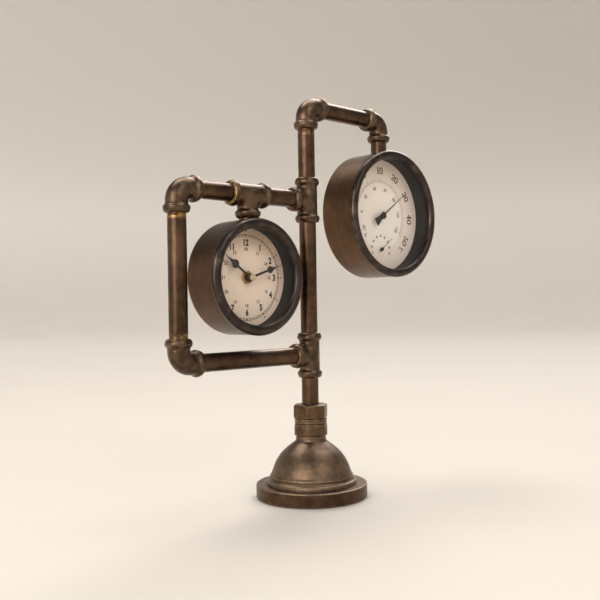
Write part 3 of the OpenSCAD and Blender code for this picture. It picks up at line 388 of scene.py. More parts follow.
def cast(field, low, high, cell=0.55):
    """Closed mesh of a solid that is given as a field of distances, one point in each cell on its skin."""
    axes = [np.arange(a, b + cell, cell) for a, b in zip(low, high)]
    grid = np.stack(np.meshgrid(*axes, indexing="ij"), -1)
    inside = field(grid) < 0
    ends = [slice(None, -1), slice(1, None)]
    held = sum(inside[i, j, k].astype(int) for i in ends for j in ends for k in ends)
    skin = (held > 0) & (held < 8)
    number = np.full(skin.shape, -1)
    number[skin] = np.arange(skin.sum())
    points = grid[:-1, :-1, :-1][skin] + cell / 2
    nudge, flattest, rounds = cell * 0.2, 0.2, 6
    for _ in range(rounds):
        rise = [field(points + s) - field(points - s) for s in np.eye(3) * nudge]
        slope = np.stack(rise, -1) / (2 * nudge)
        steep = np.maximum((slope ** 2).sum(-1, keepdims=True), flattest)
        points = points - np.clip(field(points)[..., None] * slope / steep, -cell / 2, cell / 2)
    faces = []
    for axis in range(3):
        first, second = [slice(None)] * 3, [slice(None)] * 3
        first[axis], second[axis] = ends
        crossing = np.argwhere(inside[tuple(first)] != inside[tuple(second)])
        u, v = np.eye(3, dtype=int)[[(axis + 1) % 3, (axis + 2) % 3]]
        ring = [number[tuple((crossing - shift).T)] for shift in (0 * u, u, u + v, v)]
        faces += np.stack(ring, -1).tolist()
    wide, gain, level = 0.7, 0.9, 0.12
    bend = sum(field(points + s) + field(points - s) for s in np.eye(3) * wide)
    edge = (bend - 6 * field(points)) / wide ** 2 * gain - level
    return points, faces, {"edge": np.clip(edge, -edge_limit, edge_limit)}


nut_low, nut_high = box_mm("base_nut")
nut_flats, nut_turn, nut_corner, nut_edge, nut_room = 32.0, 6.0, 1.2, 0.8, 20
bevel_in, bevel_out, bevel_up = 0.3, 0.5, 0.866


def nut_field(p):
    x, y, z = np.moveaxis(p, -1, 0)
    sides = [math.radians(nut_turn + 60 * k) for k in range(3)]
    flats = [np.abs(x * math.cos(a) + y * math.sin(a)) - nut_flats / 2 for a in sides]
    body = meet(meet(flats[0], flats[1], nut_corner), flats[2], nut_corner)
    ends = np.abs(z - (nut_low[2] + nut_high[2]) / 2) - (nut_high[2] - nut_low[2]) / 2
    out = np.sqrt(x ** 2 + y ** 2)
    bevel = (out - nut_flats / 2 + bevel_in) * bevel_out + ends * bevel_up
    solid = meet(meet(body, ends, nut_edge), bevel, nut_edge)
    return np.maximum(solid, column_bore_r - out)


nut_shape = cast(nut_field, [-nut_room, -nut_room, nut_low[2] - 1], [nut_room, nut_room, nut_high[2] + 1])
piece("lock_nut", nut_shape, foot_bronze, ["base_nut"])


def bright_steel(at):
    brush = at.stretch(1, 1, 14).noise(700)
    spot = at.noise(90, 4)
    return {
        "Base Color": spot.step(0.4, 0.75).mix("b9b7b2", "8d8983"),
        "Roughness": 0.24 + brush * 0.16 + spot * 0.1,
        "Normal": brush.bump(0.02),
    }


steel = finish("bright_steel", {"Metallic": 1.0}, bright_steel)
dress(steel, "tie_bolt")


# Pipework
# Welded steel pipe, nominal three eighths, sawn to length, threaded at the ends and browned like the foot.
# The last turns of thread beside some of the elbows show brass: bare where the wrench wore the finish off,
# and a painted warm reflection.
pipe_bronze = bronze("pipe_bronze", "5c4635", "3d2e22", 0.31, blotch=30, grain=1900, pits=0.012)
pipe_wall, pipe_sides, longest_side = 2.3, 96, 3.0
end_round, bore_round = 0.4, 0.3
thread_pitch, thread_depth, thread_round, thread_margin = 1.34, 0.28, 0.1, 0.2


def tube(node, bands):
    """Pipe on the node's own axis; each band of thread has a start, an end and a share of brass, worn bare
    with a painted reflection.
    """
    low, high = box_mm(node)
    sides = high - low
    axis = int(np.argmax(np.abs(sides - sides[1])))
    radius = sides[1] / 2
    bore = radius - pipe_wall
    corners = [(radius, low[axis], end_round)]
    for start, end, _ in bands:
        turns = np.arange(start, end, thread_pitch / 2)
        corners += [(radius - thread_depth * (k % 2), z, thread_round) for k, z in enumerate(turns)]
    corners += [(radius, high[axis], end_round)]
    corners += [(bore, high[axis], bore_round), (bore, low[axis], bore_round)]
    outline = evenly(softened(corners, 3), longest_side)
    points, faces, marks = turned(outline, pipe_sides)
    along = np.tile(outline[:, 1], pipe_sides)
    marks["bare"] = 0 * along
    for start, end, worn in bands:
        marks["bare"][(along > start - thread_margin) & (along < end + thread_margin)] = worn
    middle = (low + high) / 2
    middle[axis] = 0
    if axis == 0:
        points = points[:, [2, 0, 1]]
    return points + middle, faces, marks


elbow_low, elbow_high = box_mm("loop_top_elbow")
foot_elbow_top = box_mm("loop_bottom_elbow")[1][2]
top_elbow_mouth = box_mm("top_elbow")[0][2]
short_band, middle_band, long_band = 2.4, 2.7, 4.0
# Thread bands in painted brass: worn bare and a painted warm reflection.
worn_and_reflecting_bands = {
    "loop_side_pipe": [
        (foot_elbow_top, foot_elbow_top + middle_band, 0.5), (elbow_low[2] - short_band, elbow_low[2], 1.0),
    ],
    "loop_top_outer_pipe": [(elbow_high[0], elbow_high[0] + short_band, 1.0)],
    "column_upper_pipe": [(top_elbow_mouth - long_band, top_elbow_mouth, 0.4)],
}
for node in (
    "column_lower_pipe", "column_middle_pipe", "column_upper_pipe", "arm_pipe", "drop_pipe",
    "loop_bottom_pipe", "loop_side_pipe", "loop_top_outer_pipe", "loop_top_inner_pipe", "clock_hanger",
):
    piece(node + "_tube", tube(node, worn_and_reflecting_bands.get(node, [])), pipe_bronze, [node])


# Tees and elbows
# Malleable iron castings with a rolled bead at each mouth, threaded inside and browned in the same bath.
# The skin keeps the grain of the sand, the fillets run soft, and each bead's end face shows brass: worn bare,
# with a painted warm reflection.
fitting_bronze = bronze("fitting_bronze", "66523f", "41342a", 0.32, blotch=60, grain=1100, pits=0.03)
tee_low, tee_high = box_mm("lower_tee")
reach = (tee_high[2] - tee_low[2]) / 2
thread_gap = 0.05
pipe_r = column_bore_r - thread_gap
bore_r, body_r = pipe_r - pipe_wall, pipe_r + 1.7
branch_r, body_end = body_r - 0.2, reach - 2
bead_r, bead_len, bead_round, bead_soft = tee_high[1], 7.2, 1.7, 2.8
slant_deep, slant_soft = 3.0, 2.0
branch_soft, elbow_bend = 5.0, 12.2
socket_end, socket_mouth = reach - 11.0, reach + 2


def mouth(p, axis, way):
    """Rolled bead at the end of an outlet, and the socket inside it."""
    p = p * way
    across = np.sqrt((np.delete(p, axis, -1) ** 2).sum(-1))
    slant = (across - bead_r + p[..., axis] - reach + slant_deep) / math.sqrt(2)
    bead = meet(rod(p, axis, bead_r, reach - bead_len, reach, bead_round), slant, slant_soft)
    return bead, rod(p, axis, pipe_r + thread_gap, socket_end, socket_mouth)


def fitted(p, body, hollow, outlets):
    """The body with a bead at each outlet, less the hollow and the sockets."""
    for axis, way in outlets:
        bead, socket = mouth(p, axis, way)
        body = join(body, bead, bead_soft)
        hollow = np.minimum(hollow, socket)
    return np.maximum(body, -hollow)


def tee_field(p):
    body = join(rod(p, 2, body_r, -body_end, body_end), rod(p, 0, branch_r, 0, body_end), branch_soft)
    hollow = np.minimum(rod(p, 2, bore_r, -reach, reach), rod(p, 0, bore_r, 0, reach))
    return fitted(p, body, hollow, ((2, 1), (2, -1), (0, 1)))


def bend_field(p, radius, end):
    """Round bar that turns from -Z to +X."""
    x, y, z = np.moveaxis(p, -1, 0)
    out = np.sqrt((x - elbow_bend) ** 2 + (z + elbow_bend) ** 2) - elbow_bend
    curve = np.sqrt(out ** 2 + y ** 2) - radius
    corner = (x < elbow_bend) & (z > -elbow_bend)
    legs = np.minimum(rod(p, 2, radius, -end, -elbow_bend), rod(p, 0, radius, elbow_bend, end))
    return np.where(corner, curve, legs)


def elbow_field(p):
    return fitted(p, bend_field(p, body_r, body_end), bend_field(p, bore_r, reach), ((2, -1), (0, 1)))


def bare_mouths(points, depth, fade=0.4):
    """1 on the end faces of the beads, and that far behind them."""
    farthest = np.abs(points[:, [0, 2]]).max(1)
    return np.clip((farthest - reach + depth) / fade, 0, 1)


def centre_mm(node):
    """Middle of a node's box, across and up."""
    low, high = box_mm(node)
    return (low[0] + high[0]) / 2, (low[2] + high[2]) / 2


side_room, end_room = bead_r + 1, reach + 1
room_low = [-side_room, -side_room, -end_room]
tee_shape = cast(tee_field, room_low, [end_room, side_room, end_room])
elbow_shape = cast(elbow_field, room_low, [end_room, side_room, side_room])
straight = np.eye(3)
half_turn_z = np.diag([-1, -1, 1])
half_turn_x = np.diag([1, -1, -1])
quarter_turn_y = np.array([[0, 0, 1], [0, 1, 0], [-1, 0, 0]])
loop_x, clock_x, gauge_x = (centre_mm(node)[0] for node in ("loop_side_pipe", "clock_hanger", "drop_pipe"))
lower_z, upper_z, arm_z = (centre_mm(node)[1] for node in ("lower_tee", "upper_tee", "arm_pipe"))
for node, shape, turn, x, z, worn_and_reflecting_deep in (
    ("lower_tee", tee_shape, half_turn_z, 0, lower_z, 0.8),
    ("upper_tee", tee_shape, half_turn_z, 0, upper_z, 0.3),
    ("clock_tee", tee_shape, quarter_turn_y, clock_x, upper_z, 1.8),
    ("top_elbow", elbow_shape, straight, 0, arm_z, 0.3),
    ("arm_elbow", elbow_shape, half_turn_z, gauge_x, arm_z, 0.3),
    ("loop_top_elbow", elbow_shape, straight, loop_x, upper_z, 0.3),
    ("loop_bottom_elbow", elbow_shape, half_turn_x, loop_x, lower_z, 0.3),
):
    points, faces, marks = shape
    # Bead end faces get the painted brass: worn bare and a painted warm reflection, strongest at the clock
    # tee.
    marks = dict(marks, bare=bare_mouths(points, worn_and_reflecting_deep))
    placed = np.clip(points @ turn.T + [x, 0, z], *box_mm(node))
    piece(node + "_casting", (placed, faces, marks), fitting_bronze, [node], smooth=60)


# Drums and back covers
# Each drum is a strip of sheet steel rolled and welded, with a pressed cover screwed on behind.
# Both are browned like the pipes, but with a smoother satin skin that shows faint rubbing marks.
clock_centre = centre_mm("clock_bezel")
gauge_centre = centre_mm("thermo_bezel")


def satin_sheet(name, brown, deep, back_mm):
    """Browned sheet, rubbed round the drum and polished along its back rim."""
    def vary(at):
        cloud = at.noise(26, 4, 0.6)
        streak = at.stretch(1, 0.08, 1).noise(520, 3, 0.6)
        rubbing = at.stretch(0.25, 5, 0.25).noise(60, 4, 0.65)
        fine = at.noise(2100, 2)
        rim = at.along(1).step((back_mm - 1.6) * MM, (back_mm - 0.2) * MM)
        ground = (cloud * 0.7 + rubbing * 0.3).step(0.34, 0.68).mix(deep, brown)
        ground = (streak.step(0.62, 0.8) * 0.22).mix(ground, "a17b55")
        return {
            "Base Color": (rim * (0.25 + rubbing * 0.6)).mix(ground, "a98458"),
            "Roughness": 0.36 + (rubbing - 0.5) * 0.2 + (fine - 0.5) * 0.1,
            "Normal": (fine * 0.4 + streak * 0.4 + cloud * 2).bump(0.05),
        }
    return finish(name, {"Metallic": 0.8}, vary)


# The gauge drum is toned lighter and warmer than the clock drum: painted lamp light on the same sheet finish.
for name, node, brown, deep in (
    ("clock_drum_bronze", "clock_case", "59412c", "412c1d"),
    ("gauge_drum_bronze_painted_light", "thermo_case", "644a31", "493423"),
):
    dress(satin_sheet(name, brown, deep, box_mm(node)[1][1]), node)


def spun_sheet(name, brown, deep, centre):
    """Browned sheet with the fine rings that polishing on a spindle leaves."""
    def vary(at):
        sockets = {"W": at.away(centre), "Scale": 1400, "Detail": 3}
        ring = at.node("ShaderNodeTexNoise", {"noise_dimensions": "1D"}, sockets)
        cloud = at.noise(34, 5, 0.62)
        scratch = at.stretch(0.3, 1, 4).noise(150, 4, 0.7)
        fine = at.noise(2000, 2)
        ground = (cloud * 0.75 + ring * 0.25).step(0.36, 0.66).mix(deep, brown)
        return {
            "Base Color": (scratch.step(0.62, 0.78) * ring.step(0.45, 0.7) * 0.5).mix(ground, "9a8168"),
            "Roughness": 0.36 + (cloud - 0.5) * 0.25 + (ring - 0.5) * 0.22,
            "Normal": (ring * 0.5 + fine * 0.3 + cloud * 2).bump(0.05),
        }
    return finish(name, {"Metallic": 0.85}, vary)


def slab(outline, thick):
    """Flat plate with that outline, about its middle plane."""
    count = len(outline)
    points = np.array([(x, y, z) for z in (-thick / 2, thick / 2) for x, y in outline])
    faces = [tuple(range(count))[::-1], tuple(range(count, 2 * count))]
    faces += [(i, (i + 1) % count, (i + 1) % count + count, i + count) for i in range(count)]
    return points, faces


def joined(shapes):
    """Several shapes as one."""
    points, faces, count = [], [], 0
    for shape_points, shape_faces in shapes:
        points.append(shape_points)
        faces += [tuple(i + count for i in face) for face in shape_faces]
        count += len(shape_points)
    return np.concatenate(points), faces


def baked(holder):
    """Points in millimetres and faces of a scratch object with its modifiers applied; the object goes."""
    mesh = bpy.data.meshes.new_from_object(holder.evaluated_get(bpy.context.evaluated_depsgraph_get()))
    points = np.array([tuple(v.co) for v in mesh.vertices]) / MM
    faces = [tuple(f.vertices) for f in mesh.polygons]
    bpy.data.objects.remove(holder)
    bpy.data.meshes.remove(mesh)
    return points, faces


def punched(shape, tools):
    """A solid less the solids of the tools."""
    blank, *dies = (brought("blank", meshed("blank", *solid[:2])) for solid in [shape] + tools)
    for die in dies:
        blank.modifiers.new("punch", "BOOLEAN").object = die
    result = baked(blank)
    for die in dies:
        bpy.data.objects.remove(die)
    return result


def oblong(low, high, corner, thick, middle=0):
    """Punch with rounded corners, from one corner of its face to the other, about that height."""
    (left, bottom), (right, top) = low, high
    around = [(left, bottom, corner), (right, bottom, corner), (right, top, corner), (left, top, corner)]
    points, faces = slab(softened(around), thick)
    return points + [0, 0, middle], faces


to_back, to_front = 1, -1


def stood(shape, centre, depth, way):
    """Stands a shape that was made flat on edge about a centre, with its upper face to the back or front."""
    points, *rest = shape
    placed = np.stack([centre[0] + points[:, 0], depth + way * points[:, 2], centre[1] + points[:, 1]], -1)
    return placed, *rest


cover_thick, cover_round, cover_edge, cover_sides = 1.5, 0.9, 0.2, 192
through = 4 * cover_thick


def back_plate(name, node, centre, spun, face, punches):
    """Pressed cover; face is the outline of its outer face from the rounded rim to the axis."""
    low, high = box_mm(node)
    cover_r = (high[0] - low[0]) / 2
    rim = [(cover_r, -cover_thick, cover_edge), (cover_r, 0, cover_round)]
    plate = turned(softened(rim + face + [(0, -cover_thick)]), cover_sides)
    piece(name, stood(punched(plate, punches), centre, high[1], to_back), spun, [node])


window_gap, window_round = 1.5, 2.5
border_wide, border_round, border_deep = 2.4, 4.5, 0.5
case_low, case_high = box_mm("movement_case")
window_low = case_low[[0, 2]] - window_gap - clock_centre
window_high = case_high[[0, 2]] + window_gap - clock_centre
window = oblong(window_low, window_high, window_round, through)
border = oblong(window_low - border_wide, window_high + border_wide, border_round, 2 * border_deep)
clock_spun = spun_sheet("clock_cover_bronze", "574432", "3d2e23", clock_centre)
back_plate("clock_back_plate", "clock_cover", clock_centre, clock_spun, [(0, 0)], [window, border])

vent_count, vent_pitch, vent_len, vent_wide = 5, 8.0, 30.0, 3.0
vent_half, vent_round = np.array([vent_len, vent_wide]) / 2, vent_wide / 2.1
vents = []
for i in range(vent_count):
    up = np.array([0, (i - (vent_count - 1) / 2) * vent_pitch])
    vents.append(oblong(up - vent_half, up + vent_half, vent_round, through))
dish_out, dish_in, dish_deep, dish_soft = 30.0, 27.0, 0.7, 2.5
dish = [(dish_out, 0, dish_soft), (dish_in, -dish_deep, dish_soft), (0, -dish_deep)]
gauge_spun = spun_sheet("gauge_cover_bronze", "594634", "3f3024", gauge_centre)
back_plate("gauge_back_plate", "thermo_cover", gauge_centre, gauge_spun, dish, vents)

screw_r, screw_len, screw_sides, head_r, head_high = 1.5, 4.5, 48, 2.8, 1.8
cross_long, cross_wide, cross_deep, cross_round = 3.0, 0.6, 1.0, 0.1
head = turned(softened([
    (0, -screw_len), (screw_r, -screw_len, 0.3), (screw_r, 0), (head_r, 0, 0.2),
    (head_r - 0.1, head_high * 0.45, 0.8), (head_r * 0.6, head_high * 0.92, 1.5), (0, head_high),
]), screw_sides)
arms = [np.array([cross_long, cross_wide]) / 2, np.array([cross_wide, cross_long]) / 2]
screw = punched(head, [oblong(-arm, arm, cross_round, 2 * cross_deep, head_high) for arm in arms])
drum_wall, lug_len, lug_angles = 1.2, 7.0, (90, 210, 330)
screws = []
for node, centre in (("clock_case", clock_centre), ("thermo_case", gauge_centre)):
    low, high = box_mm(node)
    out = (high[0] - low[0]) / 2 - drum_wall - lug_len / 2
    for way in np.radians(lug_angles):
        place = (centre[0] + out * math.cos(way), centre[1] + out * math.sin(way))
        screws.append(stood(screw, place, high[1], to_back))
piece("cross_head_screws", joined(screws), steel, ["cover_screws"])


# Bezels
# Half-round rings turned from thick brass tube and bronzed almost black, pushed over the front of each drum.
# A narrow bevel at the inner lip and the outer edge keeps a thin bright line, polished by cloths and partly a
# painted highlight.
# The bezel's light edge tone stands partly for wear, partly for a painted highlight line.
bezel_bronze = bronze(
    "bezel_bronze", "433a35", "342d29", 0.31, blotch=22, grain=2400, pits=0.008, wear_and_highlight_tone="a59384"
)
bezel_sides, bezel_side_len = 224, 0.9
glass_thick, spigot_wall, spigot_gap, flange_thick = 1.6, 1.6, 0.1, 1.5
bezel_over, skirt_gap, skirt_in, skirt_high, skirt_round = 0.6, 0.08, 0.25, 1.6, 2.0
lip_in, lip_high, lip_round, seat_round = 0.35, 0.25, 0.12, 0.1
half_round = np.linspace(0.25, math.pi - 0.16, 30)
for name, node, dial, wide in (
    ("clock_rim", "clock_bezel", "clock_dial", 10.2),
    ("gauge_rim", "thermo_bezel", "thermo_dial", 9.0),
):
    low, high = box_mm(node)
    outer = (high[0] - low[0]) / 2
    base = -low[1] - wide / 2
    back = base - glass_thick
    middle = outer - wide / 2
    lip = middle - wide / 2 + lip_in
    spigot_out = outer - bezel_over - drum_wall - spigot_gap
    spigot_in = spigot_out - spigot_wall
    flange = -box_mm(dial)[0][1] + flange_thick
    outline = softened(
        [(outer - bezel_over + skirt_gap, back), (outer - skirt_in, back + skirt_high, skirt_round)]
        + [(middle + wide / 2 * math.cos(t), base + wide / 2 * math.sin(t)) for t in half_round]
        + [(lip, base + lip_high, lip_round), (lip, base, seat_round), (middle, base), (middle, back)]
        + [(spigot_in, back), (spigot_in, flange), (spigot_out, flange), (spigot_out, back)]
    )
    ring = turned(evenly(outline, bezel_side_len), bezel_sides)
    piece(name, stood(ring, centre_mm(node), 0, to_front), bezel_bronze, [node])


# Liners
# Rings of thin black plastic that line the wall between dial and glass and hold both in place.
# Injection moulded with a fine spark-eroded texture, a little dusty.
def moulded(dark, pale, rough, texture=2600):
    def vary(at):
        fine = at.noise(texture, 2)
        dust = at.noise(120, 5, 0.65)
        return {
            "Base Color": (dust.step(0.5, 0.85) * 0.6).mix(dark, pale),
            "Roughness": rough + (fine - 0.5) * 0.2 + dust * 0.12,
            "Normal": fine.bump(0.05),
        }
    return vary


liner_black = finish("black_liner", {"Specular IOR Level": 0.3}, moulded("0c0b0d", "1b1a1c", 0.5))
dress(liner_black, "clock_liner", "thermo_liner")


# Clock dial
# A tin plate faced with cream paper that has browned with age, most of all at the edge and the top.
# Hours in narrow bold figures, the afternoon hours small inside them, and a railway track of minutes outside.
def aged_paper(name, fresh, aged, stain, centre, radius, spread, band_in=None):
    """Printed paper; the band outside band_in, where it is given, is a tint darker."""
    def vary(at):
        per_radius = 1 / (radius * MM)
        out = at.away(centre)
        rise = (at.along(2) - centre[1] * MM) * per_radius
        cloud = at.noise(38, 5, 0.6)
        blot = at.noise(75, 5, 0.7)
        fibre = at.stretch(1, 1, 0.35).noise(2400, 3, 0.6)
        age = (out * per_radius * 0.9 + rise * 0.35 + (cloud - 0.5) * 0.9).step(0.45, 1.35)
        ground = (age * spread).mix(fresh, aged)
        if band_in:
            ground = (out.step(band_in * MM, (band_in + 0.3) * MM) * 0.35).mix(ground, aged)
        ground = (blot.step(0.6, 0.76) * 0.3 * spread).mix(ground, stain)
        return {
            "Base Color": (fibre.step(0.6, 0.75) * 0.14).mix(ground, stain),
            "Roughness": 0.72 + fibre * 0.15,
            "Normal": (fibre * 0.5 + cloud).bump(0.03),
        }
    return finish(name, {"Specular IOR Level": 0.25}, vary)


clock_tones, clock_paper_r, clock_age = ("f1dccb", "c4a389", "9a785e"), 50, 0.85
dress(aged_paper("clock_paper", *clock_tones, clock_centre, clock_paper_r, clock_age), "clock_dial")
ink_rise = 0.05


def figures(words, height, narrow, heavy, steps=4):
    """Printed figures, as thin solids about the middle of the line."""
    curve = bpy.data.curves.new("figures", "FONT")
    curve.body = words
    curve.offset = heavy
    curve.extrude = 0.01
    curve.resolution_u = steps
    points, faces = baked(brought("figures", curve))
    bpy.data.curves.remove(curve)
    low, high = points.min(0), points.max(0)
    points -= (low + high) / 2
    scale = height / (high[1] - low[1])
    points *= [scale * narrow, scale, ink_rise / 2 / points[:, 2].max()]
    return points, faces


def hoop(inner, outer, sides=180):
    """Printed ring round the dial's centre."""
    t = ink_rise / 2
    return turned(np.array([(inner, -t), (outer, -t), (outer, t), (inner, t)]), sides)[:2]


def moved(stroke, angle, distance, lean=None, oval=1.0):
    """A stroke set at a clock angle and a distance from the centre; lean turns it about its own middle."""
    points, faces = stroke
    spin = math.radians(angle if lean is None else lean)
    turn = np.array([[math.cos(spin), math.sin(spin), 0], [-math.sin(spin), math.cos(spin), 0], [0, 0, 1]])
    way = math.radians(angle)
    return points @ turn.T + [oval * distance * math.sin(way), distance * math.cos(way), 0], faces


def ticks(values, angle_of, start, *grades):
    """Strokes out or in from a radius; each value takes the first (step, length, width) that divides it."""
    strokes = []
    for value in values:
        length, width = next(size for step, *size in grades if value % step == 0)
        w, (inner, outer) = width / 2, sorted((start, start + length))
        bar = slab([(-w, inner), (w, inner), (w, outer), (-w, outer)], ink_rise)
        strokes.append(moved(bar, angle_of(value), 0))
    return strokes


def printed(name, strokes, material, slot, centre, dial):
    """Joins strokes into one layer of ink on the face of a dial."""
    depth = box_mm(dial)[0][1] - ink_rise / 2
    piece(name, stood(joined(strokes), centre, depth, to_front), material, smooth=20)


def ink(name, dark, faded, amount):
    def vary(at):
        worn = at.noise(420, 4, 0.65)
        patch = at.noise(45)
        return {
            "Base Color": ((worn * 0.6 + patch * 0.4).step(0.42, 0.66) * amount).mix(dark, faded),
            "Roughness": 0.5 + worn * 0.3,
        }
    return finish(name, {"Specular IOR Level": 0.3}, vary)


black_ink = ink("black_ink", "120d0a", "2a1f17", 0.6)
brown_ink = ink("brown_ink", "20160f", "433226", 0.6)
hour_r, hour_high, hour_narrow, hour_heavy, hour_oval, hour_steps = 33.6, 6.6, 0.86, 0.047, 1.04, 9
small_r, small_high, small_heavy, small_oval = 27.2, 3.4, 0.02, 1.05
minute_r, minute_high, minute_heavy = 44.2, 1.7, 0.03
track_in, track_out, track_line, tick_in, tick_len = 39.5, 41.6, 0.4, 39.6, 1.9
hours, afternoons, minutes = [], [], []
for hour in range(1, 13):
    angle = 30 * hour
    bold = figures(str(hour), hour_high, hour_narrow, hour_heavy, hour_steps)
    hours.append(moved(bold, angle, hour_r, 0, hour_oval))
    small = figures(str(hour + 12) if hour < 12 else "00", small_high, 1.0, small_heavy)
    afternoons.append(moved(small, angle, small_r, 0, small_oval))
    minutes.append(moved(figures(str(5 * hour), minute_high, 1.0, minute_heavy), angle, minute_r, 0))
track = [hoop(track_in, track_in + track_line), hoop(track_out - track_line, track_out)]
track += ticks(range(60), lambda minute: 6 * minute, tick_in, (5, tick_len, 1.5), (1, tick_len, 0.6))
clock_print = ("clock_face", clock_centre, "clock_dial")
printed("hour_figures", hours, black_ink, *clock_print)
printed("small_figures", afternoons + minutes, brown_ink, *clock_print)
printed("minute_track", track, brown_ink, *clock_print)


# Quartz movement
# A black moulded case behind the dial, held by a brass nut on its threaded bush in front.
# Inside are the motor block, its coil, a small circuit board and the brass wheels that carry the hands.
housing = finish("black_housing", {"Specular IOR Level": 0.45}, moulded("17161a", "2d2c2e", 0.5, 1900))
dress(housing, "movement_case", "movement_lid", "set_knob")


def turned_brass(at):
    lathe = at.noise(900, 2)
    cloud = at.noise(150, 4)
    return {
        "Base Color": cloud.step(0.4, 0.7).mix("d0a457", "9c7232"),
        "Roughness": 0.26 + lathe * 0.14 + cloud * 0.08,
        "Normal": lathe.bump(0.015),
    }


brass = finish("turned_brass", {"Metallic": 1.0}, turned_brass)
dress(brass, "movement_nut", "set_wheel", "hour_wheel")
dress(finish("ivory_plastic", {}, moulded("c9c2b0", "a89f88", 0.45)), "drive_block")


def enamelled_wire(at):
    turn = at.stretch(1, 0.02, 0.02).noise(5200, 2)
    return {
        "Base Color": turn.step(0.35, 0.65).mix("5f2f18", "b4683a"),
        "Roughness": 0.3 + turn * 0.2,
        "Normal": turn.bump(0.12),
    }


dress(finish("coil_wire", {"Metallic": 0.8}, enamelled_wire), "motor_coil")
dress(finish("green_board", {"Coat Weight": 0.3}, moulded("14401f", "235c30", 0.35, 700)), "circuit_board")
dress(steel, "minute_arbor")


# Hands
# Spade hands stamped from thin steel and enamelled black, pressed on the hour tube and the minute arbor.
# A domed cap of lacquered pale brass covers the end of the arbor.
def black_enamel(at):
    flow = at.noise(260)
    speck = at.noise(1800, 2)
    return {
        "Base Color": flow.step(0.4, 0.7).mix("120f0e", "241c17"),
        "Roughness": 0.34 + (speck - 0.5) * 0.16 + flow * 0.08,
        "Normal": (speck * 0.5 + flow).bump(0.02),
    }


enamel = finish("black_enamel", {}, black_enamel)
dress(enamel, "hour_hand", "minute_hand")


def pale_lacquer(at):
    cloud = at.noise(300)
    return {
        "Base Color": cloud.step(0.35, 0.7).mix("d8ccae", "bfae86"),
        "Roughness": 0.22 + cloud * 0.14,
        "Normal": cloud.bump(0.02),
    }


dress(finish("pale_cap", {"Metallic": 0.7, "Coat Weight": 0.5}, pale_lacquer), "hand_cap")


# Battery and contacts
# One AA cell, which lifts out of the open bay at the back, between two nickelled spring contacts.
# Its steel can has a printed sleeve, dark with a gold shoulder at the button end, and bare ends.
cell_low, cell_high = box_mm("battery")
shoulder_x, button_x, foot_x = cell_high[0] - 13, cell_high[0] - 2.2, cell_low[0] + 0.8


def cell_sleeve(at):
    along = at.along(0)
    shoulder = along.step(shoulder_x * MM, (shoulder_x + 0.2) * MM)
    button = along.step(button_x * MM, (button_x + 0.1) * MM)
    foot = 1 - along.step(foot_x * MM, (foot_x + 0.1) * MM)
    bare = button + foot
    scuff = at.noise(300, 5, 0.7)
    ground = (scuff.step(0.6, 0.75) * 0.25).mix(shoulder.mix("1b1b1f", "b98a3c"), "6a6560")
    return {
        "Base Color": bare.mix(ground, "c4c2bd"),
        "Metallic": 0.25 + bare * 0.7 + shoulder * 0.3,
        "Roughness": 0.3 + scuff * 0.2,
    }


dress(finish("cell_sleeve", {}, cell_sleeve), "battery")
dress(steel, "contact_plus", "contact_minus")


# Gauge dial
# White coated card with a thermometer scale round the rim, Celsius outside and Fahrenheit inside.
# A small hygrometer scale has its own centre in the lower half. Printed in brown and grey inks.
ring_r, ring_thick, ring_end = 38.0, 0.4, 124
gauge_tones, gauge_paper_r, gauge_age = ("fbf0ea", "e8d2c4", "d4b29c"), 64, 0.55
dress(aged_paper("gauge_paper", *gauge_tones, gauge_centre, gauge_paper_r, gauge_age, ring_r), "thermo_dial")
serif_thick, serif_thin, serif_gap = 0.19, 0.085, 0.03


def bow(centre, radii, first, last, count=14):
    """Points on part of an ellipse, from one angle to another in degrees."""
    sweep = np.radians(np.linspace(first, last, count))
    return [(centre[0] + radii[0] * math.cos(a), centre[1] + radii[1] * math.sin(a)) for a in sweep]


def dot(x, y):
    return bow((x, y), (3, 4), 0, 360)


pen_lines = {
    "0": [bow((30, 50), (23, 47), 0, 360, 29)],
    "1": [[(32, 3), (32, 95)], [(14, 80), (24, 86), (33, 95)], [(13, 2.5), (51, 2.5)]],
    "2": [bow((29, 71), (21, 26), 165, -30) + [(34, 36), (10, 6)],
          [(6, 6), (52, 6)], [(52, 6), (55, 20)], dot(14, 74)],
    "3": [bow((27, 74), (19, 23), 150, -90), bow((27, 27), (23, 25), 90, -150), dot(13, 78), dot(10, 20)],
    "4": [[(41, 3), (41, 97)], [(40, 96), (4, 29)], [(3, 28), (60, 28)], [(25, 2.5), (56, 2.5)]],
    "5": [[(14, 94), (50, 94)], [(14, 95), (11, 50)], bow((27, 30), (24, 28), 135, -150), dot(10, 20)],
    "-": [[(8, 42), (52, 42)]],
    "C": [bow((34, 50), (29, 47), 40, 320, 25)],
    "F": [[(16, 3), (16, 96)], [(16, 95), (56, 95)], [(16, 52), (44, 52)]],
    "o": [bow((16, 84), (9, 10), 0, 360, 17)],
}
pen_width, narrow_signs = 0.66, {"1": 0.62, "o": 0.34}


def pen_stroke(path, tall):
    """A stroke of a broad pen held level, thick going up and down; the path is in hundredths of tall."""
    path = np.array(path) / 100
    t = ink_rise / 2
    slope = np.gradient(path, axis=0)
    slope /= np.linalg.norm(slope, axis=1, keepdims=True)
    side = np.stack([-slope[:, 1], slope[:, 0]], -1)
    half = np.hypot(side[:, 0] * serif_thick, side[:, 1] * serif_thin)[:, None] / 2
    flat = np.concatenate([path + side * half, path - side * half]) * tall
    count, up = len(path), len(flat)
    points = np.concatenate([np.c_[flat, np.full(up, -t)], np.c_[flat, np.full(up, t)]])
    faces = [(0, up, up + count, count), (count - 1, up - 1, 2 * up - 1, up + count - 1)]
    for a in range(count - 1):
        b = a + count
        faces += [(a, a + 1, b + 1, b), (a + up, b + up, b + up + 1, a + up + 1)]
        faces += [(a, a + up, a + up + 1, a + 1), (b, b + 1, b + up + 1, b + up)]
    return points, faces


